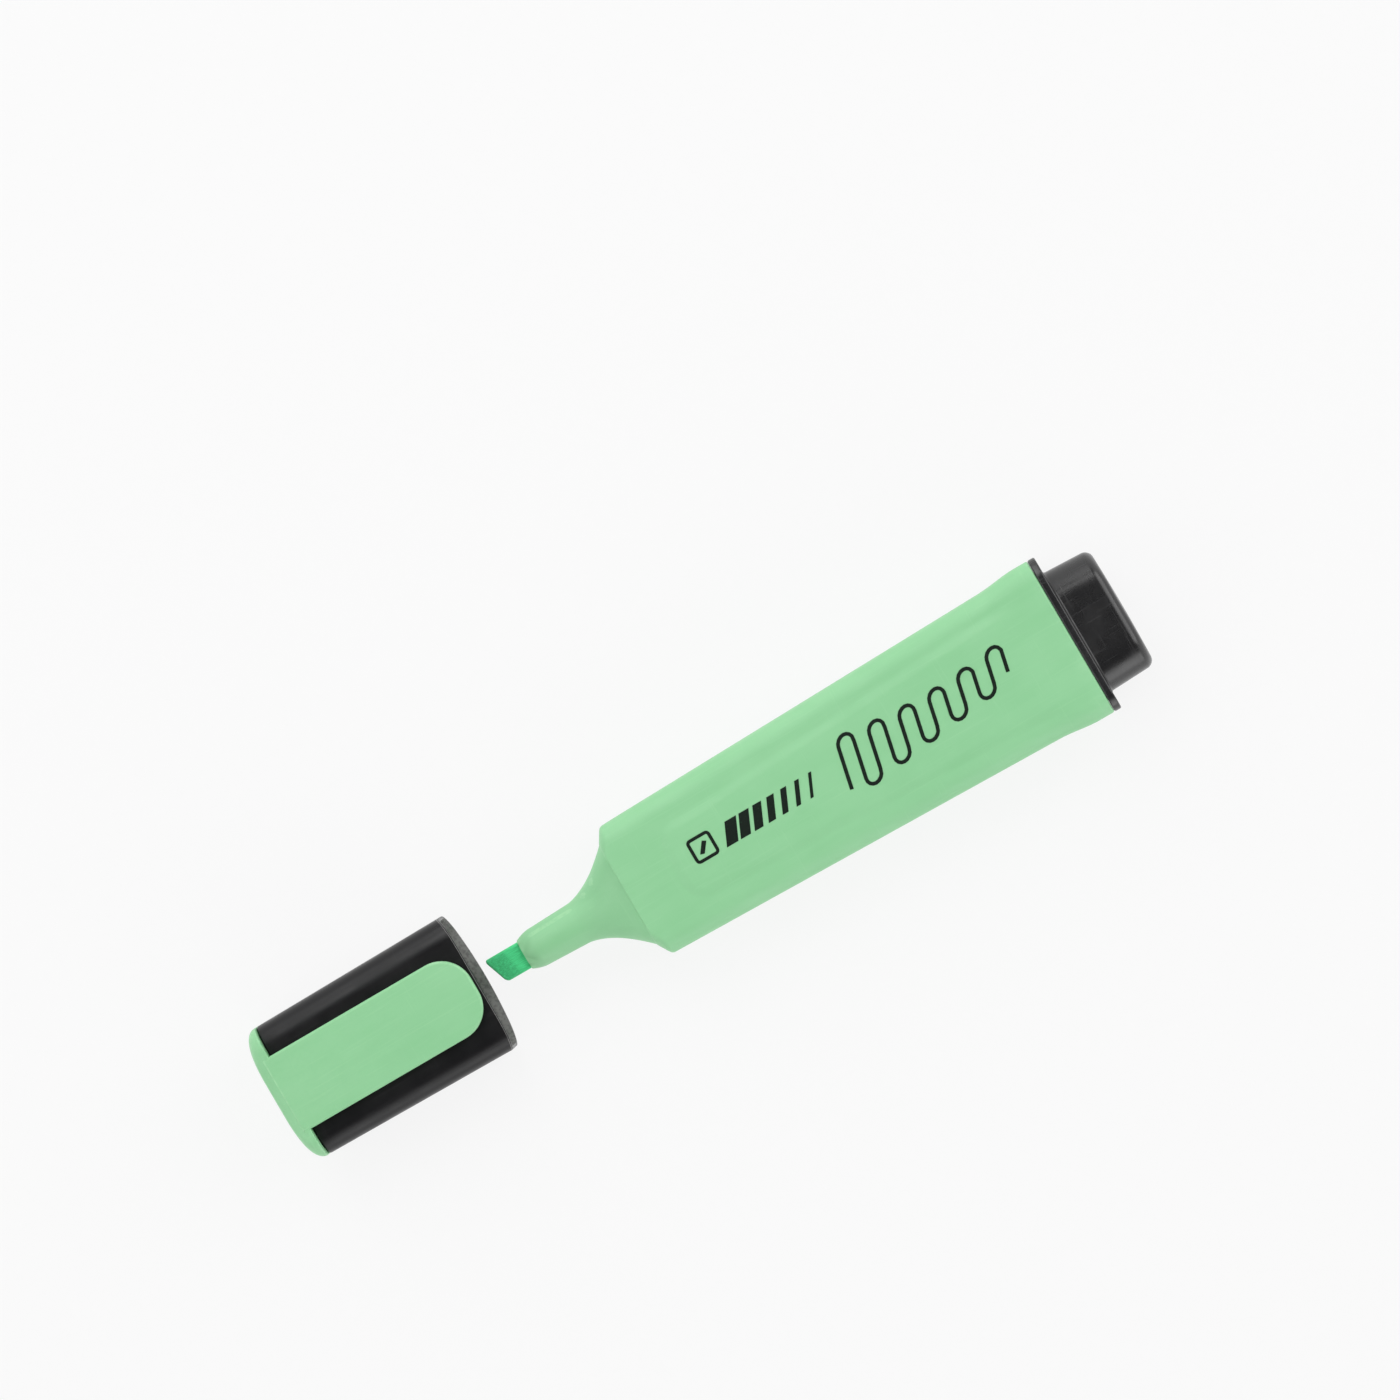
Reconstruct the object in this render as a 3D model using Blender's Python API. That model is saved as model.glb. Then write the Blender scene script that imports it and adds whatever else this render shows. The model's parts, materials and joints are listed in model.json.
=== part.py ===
"""A flat chisel-tip highlighter lying on its wide face, its cap pulled off in front of the nib.

+X runs from the cap to the end plug and +Z is up, on the clip side. The origin lies on the resting
surface, under the middle of the whole object. Sizes are in millimetres until a mesh is made.
"""

import math

import bmesh
import bpy

MM = 0.001

# Lengths along X, from the cap's closed end to the end of the post.
CAP_LENGTH = 35.4
CAP_PULLED_OFF = 1.8  # from the cap's mouth to the tip of the nib
NIB_REACH = 5.7  # how far the nib stands out of the nozzle
NOZZLE_LENGTH = 9.1
BELL_LENGTH = 9.1
SHOULDER_LENGTH = 1.4
BARREL_LENGTH = 75.0
FLANGE_THICKNESS = 1.2
POST_LENGTH = 7.8

# Barrel sections.
NOSE_RADIUS = 3.25
NOSE_ROUNDING = 1.8
NOSE_LIP = 0.3  # plastic left in front around the nib's bore
NOZZLE_RADIUS = 3.6
BELL_SIDE_ROOM = 1.85  # between the bell's widest stretch and the cap that closes over it
BELL_POWER = 2.1
CREASE_STEP = 0.05  # the run over which the bell steps up to the wide faces
SHOULDER_WIDTH = 21.8
WAIST_WIDTH = 24.8  # just in front of the rear flare
END_WIDTH = 25.9
BARREL_THICKNESS = 15.3
FLARE_RISE = 0.35  # on each wide face
FLARE_LENGTH = 7.0
END_STRAIGHT = 2.4
BARREL_CORNER = 3.0
BARREL_WALL = 1.2

# Raised pads on both wide faces.
PAD_SETBACK = 6.3  # from the shoulder to the pad's rounded front
PAD_FRONT_MARGIN = 1.6  # from the pad's foot to the barrel's rounded side
PAD_REAR_MARGIN = 0.1
PAD_FRONT_CORNER = 3.8
PAD_SLOPE = 1.0

# Nib and ink reservoir.
NIB_WIDTH = 4.4
NIB_THICKNESS = 3.2
NIB_EDGE_THICKNESS = 1.5
NIB_WEDGE = 3.2  # length of the thinned tip
NIB_SLANT = 0.35  # how far the writing edge runs back, per millimetre of width
NIB_TIP_ROUNDING = 0.3
NIB_CORNER = 0.5
NIB_TAIL = 4.0  # how deep the tail pierces the wadding
CORE_FRONT_SETBACK = 3.4  # from the shoulder to the wadding
FILM_THICKNESS = 0.25
FILM_SHORTER = 1.0  # at each end of the wadding
RIB_THICKNESS = 0.8
SIDE_RIB_HEIGHT = 1.13
FLAT_RIB_HEIGHT = 0.93
RIB_SPACING = 8.0
STOP_SPACING = 10.4
STOP_THICKNESS = 1.0
VENT_WIDTH = 0.8
VENT_DEPTH = 0.5

# End plug.
POST_DRAFT = 0.25
POST_ROUNDING = 1.2
POST_CORNER = 4.8  # rounder than the inside of the cap, which closes over it
PLUG_WALL = 1.2
SKIRT_LENGTH = 6.0
SKIRT_CHAMFER = 0.5
PLATE_REACH = 4.6  # how far the plates that hold the wadding stand out of the skirt

# Cap.
CAP_MOUTH_WIDTH = 22.6
CAP_END_WIDTH = 21.8
CAP_CORNER = 3.4
CAP_WALL = 1.0
MOUTH_CHAMFER = 0.35
CAP_WEB = 1.1
WEB_SETBACK = 0.8  # from the end cover's edge to the inside of the web
SPIGOT_LENGTH = 1.1
SPIGOT_WALL = 1.0
SPIGOT_TAPER = 0.2
COVER_SKIRT = 2.9
COVER_WALL = 0.9
COVER_DOME = 0.25
COVER_END_WALL = 1.2
COVER_ROUNDING = 3.4  # in plan; the wide faces are rounded less
COVER_FLATNESS = 0.55
COVER_FILLET = 0.3
COVER_CROWN = 0.35  # share of the closed end that is flat at the top of its dome
CLIP_WIDTH = 12.4
CLIP_THICKNESS = 1.2
CLIP_GAP = 0.5
CLIP_SHORT_OF_MOUTH = 0.5
CLIP_END_CORNER = 5.0
CLIP_EDGE = 0.35
CLIP_STEP = 0.05  # the tongue's face above the end cover's
CLIP_ROOT = 1.2  # how far the tongue reaches back into the end cover
CLIP_BUMP_LENGTH = 3.0
CLIP_BUMP_SETBACK = 4.5
LEG_ROOM = 0.58  # between the snap legs and the inner cap
LEG_THICKNESS = 1.2
LEG_WIDTH = 4.0
LEG_HOOK = 0.5
HOOK_THICKNESS = 0.6
INNER_CAP_WALL = 1.0
INNER_CAP_FREE_DEPTH = 1.8  # room in front of the nib's tip when the cap is on
INNER_CAP_LEAD = 0.8
GUIDE_THICKNESS = 1.2
GUIDE_LENGTH = 14.0

# Clearances.
SEAT_GAP = 0.2  # between faces that rest on each other
SLIP = 0.15  # around a piece that is pressed in and held
FILM_SLIP = 0.12
CAP_CLEARANCE = 0.3  # between the sleeve and the bell it closes over
SEAL_CLEARANCE = 0.22  # between the inner cap and the nozzle
OVERLAP = 0.4  # how far a rib reaches into the wall that carries it

# Facets.
CORNER_STEPS = 6
PAD_POINTS = 4
BELL_STEPS = 8
ROUNDING_STEPS = 5

# Stations along X.
TOTAL_LENGTH = (
    CAP_LENGTH + CAP_PULLED_OFF + NIB_REACH + NOZZLE_LENGTH + BELL_LENGTH
    + SHOULDER_LENGTH + BARREL_LENGTH + FLANGE_THICKNESS + POST_LENGTH
)
CAP_END_X = -TOTAL_LENGTH / 2
CAP_MOUTH_X = CAP_END_X + CAP_LENGTH
NIB_TIP_X = CAP_MOUTH_X + CAP_PULLED_OFF
NOSE_X = NIB_TIP_X + NIB_REACH
BELL_X = NOSE_X + NOZZLE_LENGTH
CREASE_X = BELL_X + BELL_LENGTH
SHOULDER_X = CREASE_X + SHOULDER_LENGTH
BARREL_END_X = SHOULDER_X + BARREL_LENGTH
WAIST_X = BARREL_END_X - END_STRAIGHT - FLARE_LENGTH
FLANGE_END_X = BARREL_END_X + FLANGE_THICKNESS
POST_END_X = FLANGE_END_X + POST_LENGTH
PAD_X = SHOULDER_X + PAD_SETBACK
CORE_X = SHOULDER_X + CORE_FRONT_SETBACK
CORE_END_X = BARREL_END_X - SKIRT_LENGTH - PLATE_REACH

# Sizes that follow from the ones above.
END_THICKNESS = BARREL_THICKNESS + 2 * FLARE_RISE
AXIS_Z = END_THICKNESS / 2
CAP_HALF_Z = END_THICKNESS / 2
CAP_TRAVEL = CREASE_X - SEAT_GAP - CAP_MOUTH_X
BELL_HALF_Y = CAP_MOUTH_WIDTH / 2 - CAP_WALL - BELL_SIDE_ROOM
BELL_HALF_Z = CAP_HALF_Z - CAP_WALL - CAP_CLEARANCE
SOCKET_HALF_Y = WAIST_WIDTH / 2 - BARREL_WALL
SOCKET_HALF_Z = BARREL_THICKNESS / 2 - BARREL_WALL
BORE_HALF_Y = NIB_WIDTH / 2 + SLIP
BORE_HALF_Z = NIB_THICKNESS / 2 + SLIP
FILM_HALF_Y = SHOULDER_WIDTH / 2 - BARREL_WALL - SIDE_RIB_HEIGHT - SEAT_GAP
FILM_HALF_Z = SOCKET_HALF_Z - FLAT_RIB_HEIGHT - SEAT_GAP
CORE_HALF_Y = FILM_HALF_Y - FILM_THICKNESS - FILM_SLIP
CORE_HALF_Z = FILM_HALF_Z - FILM_THICKNESS - FILM_SLIP
INNER_CAP_BORE = NOZZLE_RADIUS + SEAL_CLEARANCE
INNER_CAP_RADIUS = INNER_CAP_BORE + INNER_CAP_WALL
BOSS_RADIUS = INNER_CAP_BORE - SEAT_GAP
LEG_Y = INNER_CAP_RADIUS + LEG_ROOM + LEG_THICKNESS / 2
INNER_CAP_MOUTH_X = BELL_X - CAP_TRAVEL - SEAT_GAP
INNER_CAP_FLOOR_X = NIB_TIP_X - CAP_TRAVEL - INNER_CAP_FREE_DEPTH
COVER_EDGE_X = CAP_END_X + COVER_SKIRT
COVER_FLOOR_X = CAP_END_X + COVER_DOME + COVER_END_WALL
WEB_X = COVER_EDGE_X + WEB_SETBACK
CLIP_BOTTOM_Z = AXIS_Z + CAP_HALF_Z + CLIP_GAP
CLIP_END_X = CAP_MOUTH_X - CLIP_SHORT_OF_MOUTH
COVER_RISE = CLIP_GAP + CLIP_THICKNESS - CLIP_STEP


def material(name, colour, roughness):
    """A plain plastic or fibre: colour, roughness, no metal."""
    made = bpy.data.materials.new(name)
    made.use_nodes = True
    shader = made.node_tree.nodes["Principled BSDF"]
    shader.inputs["Base Color"].default_value = (*colour, 1)
    shader.inputs["Roughness"].default_value = roughness
    shader.inputs["Metallic"].default_value = 0
    return made


def frame_empty(name, x):
    empty = bpy.data.objects.new(name, None)
    empty.location = (x * MM, 0, AXIS_Z * MM)
    bpy.context.scene.collection.objects.link(empty)
    return empty


def smoothstep(t):
    t = min(max(t, 0), 1)
    return t * t * (3 - 2 * t)


def mix(a, b, t):
    return a + (b - a) * t


def squared_points(half_y, half_z, corner, pad):
    """A rounded rectangle, (y, z) about the axis; pad is (half width, half width of its foot, height)."""
    half_pad, half_foot, pad_height = pad
    points = []
    for quarter in range(4):
        sign_y = 1 if quarter in (0, 3) else -1
        sign_z = 1 if quarter in (0, 1) else -1
        for step in range(CORNER_STEPS + 1):
            angle = (quarter + step / CORNER_STEPS) * math.pi / 2
            y = sign_y * (half_y - corner) + corner * math.cos(angle)
            z = sign_z * (half_z - corner) + corner * math.sin(angle)
            points.append((y, z))
        if quarter in (0, 2):
            rise = sign_z * (half_z + pad_height)
            points.append((sign_y * half_foot, sign_z * half_z))
            points.append((sign_y * half_pad, rise))
            points.append((-sign_y * half_pad, rise))
            points.append((-sign_y * half_foot, sign_z * half_z))
    return points


def round_points(half_y, half_z):
    """An ellipse with as many points as squared_points gives, in the same order."""
    count = 4 * (CORNER_STEPS + 1) + 2 * PAD_POINTS
    angles = [(i + 0.5) * 2 * math.pi / count for i in range(count)]
    return [(half_y * math.cos(a), half_z * math.sin(a)) for a in angles]


def section(x, half_y, half_z, corner=0.0, squareness=1.0, pad=None, slant=0.0):
    """One ring across X. squareness 0 is an ellipse, 1 a rounded rectangle; slant leans it back in X."""
    corner = min(corner, 0.95 * min(half_y, half_z))
    flat = half_y - corner
    squared = squared_points(half_y, half_z, corner, pad or (0.2 * flat, 0.6 * flat, 0.0))
    rounded = round_points(half_y, half_z)
    ring = []
    for (sy, sz), (ry, rz) in zip(squared, rounded):
        y = mix(ry, sy, squareness)
        z = mix(rz, sz, squareness)
        ring.append((x + slant * (half_y - y), y, AXIS_Z + z))
    return ring


def circle(x, radius):
    return section(x, radius, radius, radius, squareness=0.0)


def shell(name, rings, look, frame, ring_shaped=False):
    """Joins rings into one closed body. A ring-shaped one runs back into its first ring."""
    anchor = frame.location / MM
    count = len(rings[0])
    mesh = bmesh.new()
    rows = []
    for ring in rings:
        rows.append([mesh.verts.new([(c - a) * MM for c, a in zip(p, anchor)]) for p in ring])
    pairs = list(zip(rows, rows[1:]))
    if ring_shaped:
        pairs.append((rows[-1], rows[0]))
    else:
        mesh.faces.new(rows[0])
        mesh.faces.new(rows[-1])
    for one, other in pairs:
        for i in range(count):
            j = (i + 1) % count
            mesh.faces.new((one[i], one[j], other[j], other[i]))
    bmesh.ops.recalc_face_normals(mesh, faces=mesh.faces)
    data = bpy.data.meshes.new(name)
    mesh.to_mesh(data)
    mesh.free()
    data.shade_smooth()
    data.set_sharp_from_angle(angle=math.radians(32))
    made = bpy.data.objects.new(name, data)
    made.data.materials.append(look)
    made.parent = frame
    bpy.context.scene.collection.objects.link(made)
    return made


def rectangle(x, y_range, z_range):
    """A four-cornered ring at x; y and z are measured from the axis."""
    (y0, y1), (z0, z1) = y_range, z_range
    corners = ((y0, z0), (y1, z0), (y1, z1), (y0, z1))
    return [(x, y, AXIS_Z + z) for y, z in corners]


def helper(name, rings, body):
    """A hidden solid that is joined to a body or cut out of it."""
    made = shell(name, rings, body.data.materials[0], body.parent)
    made.hide_render = True
    made.display_type = "WIRE"
    return made


def combine(body, name, rings, operation):
    modifier = body.modifiers.new(name, "BOOLEAN")
    modifier.object = helper(name, rings, body)
    modifier.operation = operation
    modifier.solver = "EXACT"


def bell_half_sizes(x):
    """Half width, half height and squareness of the bell between the nozzle and the crease."""
    t = (x - BELL_X) / BELL_LENGTH
    share = t**BELL_POWER
    half_y = mix(NOZZLE_RADIUS, BELL_HALF_Y, share)
    half_z = mix(NOZZLE_RADIUS, BELL_HALF_Z, share)
    return half_y, half_z, smoothstep(t)


def barrel_half_width(x):
    if x <= WAIST_X:
        return mix(SHOULDER_WIDTH, WAIST_WIDTH, (x - SHOULDER_X) / (WAIST_X - SHOULDER_X)) / 2
    return mix(WAIST_WIDTH, END_WIDTH, smoothstep((x - WAIST_X) / FLARE_LENGTH)) / 2


def barrel_half_height(x):
    return mix(BARREL_THICKNESS, END_THICKNESS, smoothstep((x - WAIST_X) / FLARE_LENGTH)) / 2


def pad_at(x):
    """The pad's widths and height: a rounded front, edges that spread to the rear, lost in the flare."""
    along = max(x - PAD_X, 0)
    margin = mix(PAD_FRONT_MARGIN, PAD_REAR_MARGIN, min(along / (WAIST_X - PAD_X), 1))
    side = barrel_half_width(x) - BARREL_CORNER - PAD_SLOPE - margin
    short = max(PAD_FRONT_CORNER - along, 0)
    half = side - PAD_FRONT_CORNER + math.sqrt(PAD_FRONT_CORNER**2 - short**2)
    height = AXIS_Z - barrel_half_height(x)
    return half, half + PAD_SLOPE, height * smoothstep(along / PAD_SLOPE)


def barrel_outside():
    """Rings from the nose of the nozzle to the open rear end."""
    rings = []
    lip = BORE_HALF_Y + NOSE_LIP, BORE_HALF_Z + VENT_DEPTH + NOSE_LIP
    for step in range(ROUNDING_STEPS + 1):
        angle = step / ROUNDING_STEPS * math.pi / 2
        x = NOSE_X + NOSE_ROUNDING * (1 - math.cos(angle))
        half_y = mix(lip[0], NOSE_RADIUS, math.sin(angle))
        half_z = mix(lip[1], NOSE_RADIUS, math.sin(angle))
        rings.append(section(x, half_y, half_z, half_z, squareness=1 - math.sin(angle)))
    for step in range(BELL_STEPS + 1):
        x = BELL_X + BELL_LENGTH * step / BELL_STEPS
        half_y, half_z, squareness = bell_half_sizes(x)
        rings.append(section(x, half_y, half_z, BARREL_CORNER, squareness))
    rings.append(section(CREASE_X + CREASE_STEP, BELL_HALF_Y, BARREL_THICKNESS / 2, BARREL_CORNER))
    front = [0, PAD_SLOPE / 2, PAD_SLOPE, PAD_FRONT_CORNER / 2, PAD_FRONT_CORNER]
    flare = [FLARE_LENGTH * step / ROUNDING_STEPS for step in range(ROUNDING_STEPS + 1)]
    stations = [SHOULDER_X, *(PAD_X + a for a in front), *(WAIST_X + a for a in flare), BARREL_END_X]
    for x in stations:
        sizes = barrel_half_width(x), barrel_half_height(x)
        rings.append(section(x, *sizes, BARREL_CORNER, pad=pad_at(x)))
    return rings


def barrel_inside():
    """Rings from the open rear end to the nib's bore in the nose."""
    corner = BARREL_CORNER - BARREL_WALL
    front_half_y = SHOULDER_WIDTH / 2 - BARREL_WALL
    rings = [
        section(BARREL_END_X, SOCKET_HALF_Y, SOCKET_HALF_Z, corner),
        section(WAIST_X, SOCKET_HALF_Y, SOCKET_HALF_Z, corner),
        section(SHOULDER_X + BARREL_WALL / 2, front_half_y, SOCKET_HALF_Z, corner),
    ]
    for step in range(BELL_STEPS, 1, -1):
        x = BELL_X + BELL_LENGTH * step / BELL_STEPS
        half_y, half_z, _ = bell_half_sizes(x)
        half_y = max(half_y - BARREL_WALL, BORE_HALF_Y)
        half_z = max(half_z - BARREL_WALL, BORE_HALF_Z)
        rings.append(section(x, half_y, half_z, corner))
    bore = BORE_HALF_Y, BORE_HALF_Z, NIB_CORNER
    rings.append(section(BELL_X, *bore))
    rings.append(section(NOSE_X, *bore))
    return rings


def add_barrel_ribs(barrel):
    """Ribs along the inside that hold the reservoir, two stops in front of it and the nib's air vents."""
    start, end = CORE_X, CORE_END_X - FILM_SHORTER
    low, high = FILM_HALF_Z + SEAT_GAP, SOCKET_HALF_Z + OVERLAP
    for side in (-1, 1):
        for up in (-1, 1):
            y = side * RIB_SPACING / 2
            across = y - RIB_THICKNESS / 2, y + RIB_THICKNESS / 2
            tall = sorted((up * low, up * high))
            rings = [rectangle(x, across, tall) for x in (start, end)]
            combine(barrel, f"reservoir_rib_{side}_{up}", rings, "UNION")
        upright = -RIB_THICKNESS / 2, RIB_THICKNESS / 2
        rings = []
        for x in (start, end):
            wall = barrel_half_width(x) - BARREL_WALL + OVERLAP
            across = sorted((side * (FILM_HALF_Y + SEAT_GAP), side * wall))
            rings.append(rectangle(x, across, upright))
        combine(barrel, f"side_rib_{side}", rings, "UNION")
        y = side * STOP_SPACING / 2
        across = y - STOP_THICKNESS / 2, y + STOP_THICKNESS / 2
        rings = [rectangle(x, across, (-high, high)) for x in (CREASE_X + OVERLAP, CORE_X - SEAT_GAP)]
        combine(barrel, f"reservoir_stop_{side}", rings, "UNION")
    across = -VENT_WIDTH / 2, VENT_WIDTH / 2
    for up in (-1, 1):
        tall = sorted((up * NIB_THICKNESS / 2, up * (BORE_HALF_Z + VENT_DEPTH)))
        rings = [rectangle(x, across, tall) for x in (NOSE_X - VENT_DEPTH, BELL_X + BELL_LENGTH / 4)]
        combine(barrel, f"air_vent_{up}", rings, "DIFFERENCE")


def make_barrel(frame):
    green = material("pastel_green_plastic", (0.29, 0.65, 0.33), 0.42)
    barrel = shell("barrel", barrel_outside() + barrel_inside(), green, frame, ring_shaped=True)
    add_barrel_ribs(barrel)


def make_nib(frame):
    """A flat bar of pressed fibre: slanted, thinned writing edge in front, pointed tail behind."""
    half_y, half_z, corner = NIB_WIDTH / 2, NIB_THICKNESS / 2, NIB_CORNER
    edge_z = NIB_EDGE_THICKNESS / 2
    tail_x = CORE_X + NIB_TAIL
    rings = [
        section(NIB_TIP_X, half_y - corner, edge_z - NIB_TIP_ROUNDING, corner / 2, slant=NIB_SLANT),
        section(NIB_TIP_X + NIB_TIP_ROUNDING, half_y, edge_z, corner, slant=NIB_SLANT),
        section(NIB_TIP_X + NIB_WEDGE, half_y, half_z, corner, slant=NIB_SLANT / 2),
        section(NOSE_X, half_y, half_z, corner),
        section(CORE_X, half_y, half_z, corner),
        section(tail_x, half_y / 2, half_z / 2, corner / 2),
    ]
    shell("nib", rings, material("nib_fibre", (0.05, 0.46, 0.17), 0.8), frame)


def make_reservoir(frame):
    """The wadding, with the pocket that the nib's tail has pierced, and the film wrapped around it."""
    rings = [section(x, CORE_HALF_Y, CORE_HALF_Z, CORE_HALF_Z) for x in (CORE_X, CORE_END_X)]
    core = shell("reservoir_core", rings, material("ink_wadding", (0.16, 0.6, 0.3), 0.95), frame)
    pocket = BORE_HALF_Y + SLIP, BORE_HALF_Z + SLIP
    spans = (-pocket[0], pocket[0]), (-pocket[1], pocket[1])
    rings = [rectangle(x, *spans) for x in (CORE_X - OVERLAP, CORE_X + NIB_TAIL + SEAT_GAP)]
    combine(core, "nib_pocket", rings, "DIFFERENCE")
    ends = CORE_X + FILM_SHORTER, CORE_END_X - FILM_SHORTER
    inner_y, inner_z = FILM_HALF_Y - FILM_THICKNESS, FILM_HALF_Z - FILM_THICKNESS
    rings = [section(x, FILM_HALF_Y, FILM_HALF_Z, FILM_HALF_Z) for x in ends]
    rings += [section(x, inner_y, inner_z, inner_z) for x in reversed(ends)]
    film = material("clear_film", (0.8, 0.85, 0.82), 0.2)
    shell("reservoir_film", rings, film, frame, ring_shaped=True)


def make_end_plug(frame):
    """Skirt pressed into the barrel, flange flush with it, hollow post, and two plates on the wadding."""
    corner = BARREL_CORNER - BARREL_WALL
    skirt = SOCKET_HALF_Y - SLIP, SOCKET_HALF_Z - SLIP, corner
    skirt_x = BARREL_END_X - SKIRT_LENGTH
    flange = END_WIDTH / 2, END_THICKNESS / 2, BARREL_CORNER
    seat_x = BARREL_END_X + SEAT_GAP
    post_y = CAP_MOUTH_WIDTH / 2 - CAP_WALL - SLIP
    post_z = CAP_HALF_Z - CAP_WALL - SLIP
    inner_x = POST_END_X - PLUG_WALL
    inset = POST_DRAFT + PLUG_WALL
    hollow = post_y - inset, post_z - inset, POST_CORNER - PLUG_WALL / 2
    inside = skirt[0] - PLUG_WALL, skirt[1] - PLUG_WALL, corner / 2
    rings = [
        section(inner_x, *hollow),
        section(seat_x, *hollow),
        section(seat_x - SLIP, *inside),
        section(skirt_x, *inside),
        section(skirt_x, skirt[0] - SKIRT_CHAMFER / 2, skirt[1] - SKIRT_CHAMFER / 2, corner),
        section(skirt_x + SKIRT_CHAMFER, *skirt),
        section(seat_x, *skirt),
        section(seat_x, *flange),
        section(FLANGE_END_X, *flange),
        section(FLANGE_END_X, post_y, post_z, POST_CORNER),
    ]
    for step in range(ROUNDING_STEPS + 1):
        angle = step / ROUNDING_STEPS * math.pi / 2
        x = POST_END_X - POST_ROUNDING * (1 - math.sin(angle))
        inset = POST_DRAFT + POST_ROUNDING * (1 - math.cos(angle))
        rings.append(section(x, post_y - inset, post_z - inset, POST_CORNER))
    plug = shell("end_plug", rings, material("black_plastic", (0.012, 0.011, 0.013), 0.3), frame)
    high = skirt[1] - PLUG_WALL + OVERLAP
    for side in (-1, 1):
        y = side * RIB_SPACING / 2
        across = y - PLUG_WALL / 2, y + PLUG_WALL / 2
        plate = [rectangle(x, across, (-high, high)) for x in (CORE_END_X + SEAT_GAP, inner_x + OVERLAP)]
        combine(plug, f"reservoir_plate_{side}", plate, "UNION")


def cap_half_width(x):
    return mix(CAP_END_WIDTH, CAP_MOUTH_WIDTH, (x - CAP_END_X) / CAP_LENGTH) / 2


def leg_span(side, margin):
    """The y range of one snap leg, or of its slot when a margin is given."""
    reach = LEG_THICKNESS / 2 + margin
    return side * LEG_Y - reach, side * LEG_Y + reach


def make_cap_sleeve(frame):
    """The black sleeve: open mouth, web near the closed end, and a spigot that carries the end cover."""
    inner_corner = CAP_CORNER - CAP_WALL
    inner_z = CAP_HALF_Z - CAP_WALL
    step_x = COVER_EDGE_X + SEAT_GAP
    inset = COVER_WALL + SEAT_GAP
    spigot = cap_half_width(step_x) - inset, CAP_HALF_Z - inset, CAP_CORNER - inset
    tip = [size - SPIGOT_TAPER for size in spigot]
    pocket = [size - SPIGOT_WALL for size in tip]
    mouth = cap_half_width(CAP_MOUTH_X)
    rings = [
        section(WEB_X, cap_half_width(WEB_X) - CAP_WALL, inner_z, inner_corner),
        section(CAP_MOUTH_X - MOUTH_CHAMFER, mouth - CAP_WALL, inner_z, inner_corner),
        section(CAP_MOUTH_X, mouth - CAP_WALL + MOUTH_CHAMFER, inner_z + MOUTH_CHAMFER, inner_corner),
        section(CAP_MOUTH_X, mouth - MOUTH_CHAMFER / 2, CAP_HALF_Z - MOUTH_CHAMFER / 2, CAP_CORNER),
        section(CAP_MOUTH_X - MOUTH_CHAMFER / 2, mouth, CAP_HALF_Z, CAP_CORNER),
        section(step_x, cap_half_width(step_x), CAP_HALF_Z, CAP_CORNER),
        section(step_x, *spigot),
        section(step_x - SPIGOT_LENGTH, *tip),
        section(step_x - SPIGOT_LENGTH, *pocket),
        section(WEB_X - CAP_WEB, *pocket),
    ]
    black = material("cap_black_plastic", (0.012, 0.011, 0.013), 0.35)
    sleeve = shell("cap_sleeve", rings, black, frame)
    boss_end = INNER_CAP_FLOOR_X - INNER_CAP_WALL - SEAT_GAP
    rings = [circle(x, BOSS_RADIUS) for x in (WEB_X - CAP_WEB / 2, boss_end)]
    combine(sleeve, "inner_cap_boss", rings, "UNION")
    near = INNER_CAP_RADIUS + SEAT_GAP
    thin = -GUIDE_THICKNESS / 2, GUIDE_THICKNESS / 2
    start = INNER_CAP_FLOOR_X - INNER_CAP_WALL
    spans = start, start + GUIDE_LENGTH
    for side in (-1, 1):
        far = [side * (cap_half_width(x) - CAP_WALL + OVERLAP) for x in spans]
        rings = [rectangle(x, sorted((side * near, y)), thin) for x, y in zip(spans, far)]
        combine(sleeve, f"side_guide_{side}", rings, "UNION")
        tall = sorted((side * near, side * (inner_z + OVERLAP)))
        rings = [rectangle(x, thin, tall) for x in spans]
        combine(sleeve, f"flat_guide_{side}", rings, "UNION")
        slot = leg_span(side, SEAT_GAP), (-LEG_WIDTH / 2 - SEAT_GAP, LEG_WIDTH / 2 + SEAT_GAP)
        rings = [rectangle(x, *slot) for x in (WEB_X - 2 * CAP_WEB, WEB_X + CAP_WEB)]
        combine(sleeve, f"leg_slot_{side}", rings, "DIFFERENCE")


def clip_outline(z, inset):
    """The tongue seen from above: square root inside the end cover, broad rounded free end."""
    half = CLIP_WIDTH / 2 - inset
    corner = CLIP_END_CORNER - inset
    end = CLIP_END_X - inset
    root = COVER_EDGE_X - CLIP_ROOT + inset
    points = [(root, -half, z)]
    for centre, start in ((corner - half, -90), (half - corner, 0)):
        for step in range(CORNER_STEPS + 1):
            angle = math.radians(start + 90 * step / CORNER_STEPS)
            x = end - corner + corner * math.cos(angle)
            points.append((x, centre + corner * math.sin(angle), z))
    points.append((root, half, z))
    return points


def raised(ring, rise):
    """The ring with its upper half lifted, so that its narrow sides grow taller."""
    return [(x, y, z + rise if z > AXIS_Z else z) for x, y, z in ring]


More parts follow.
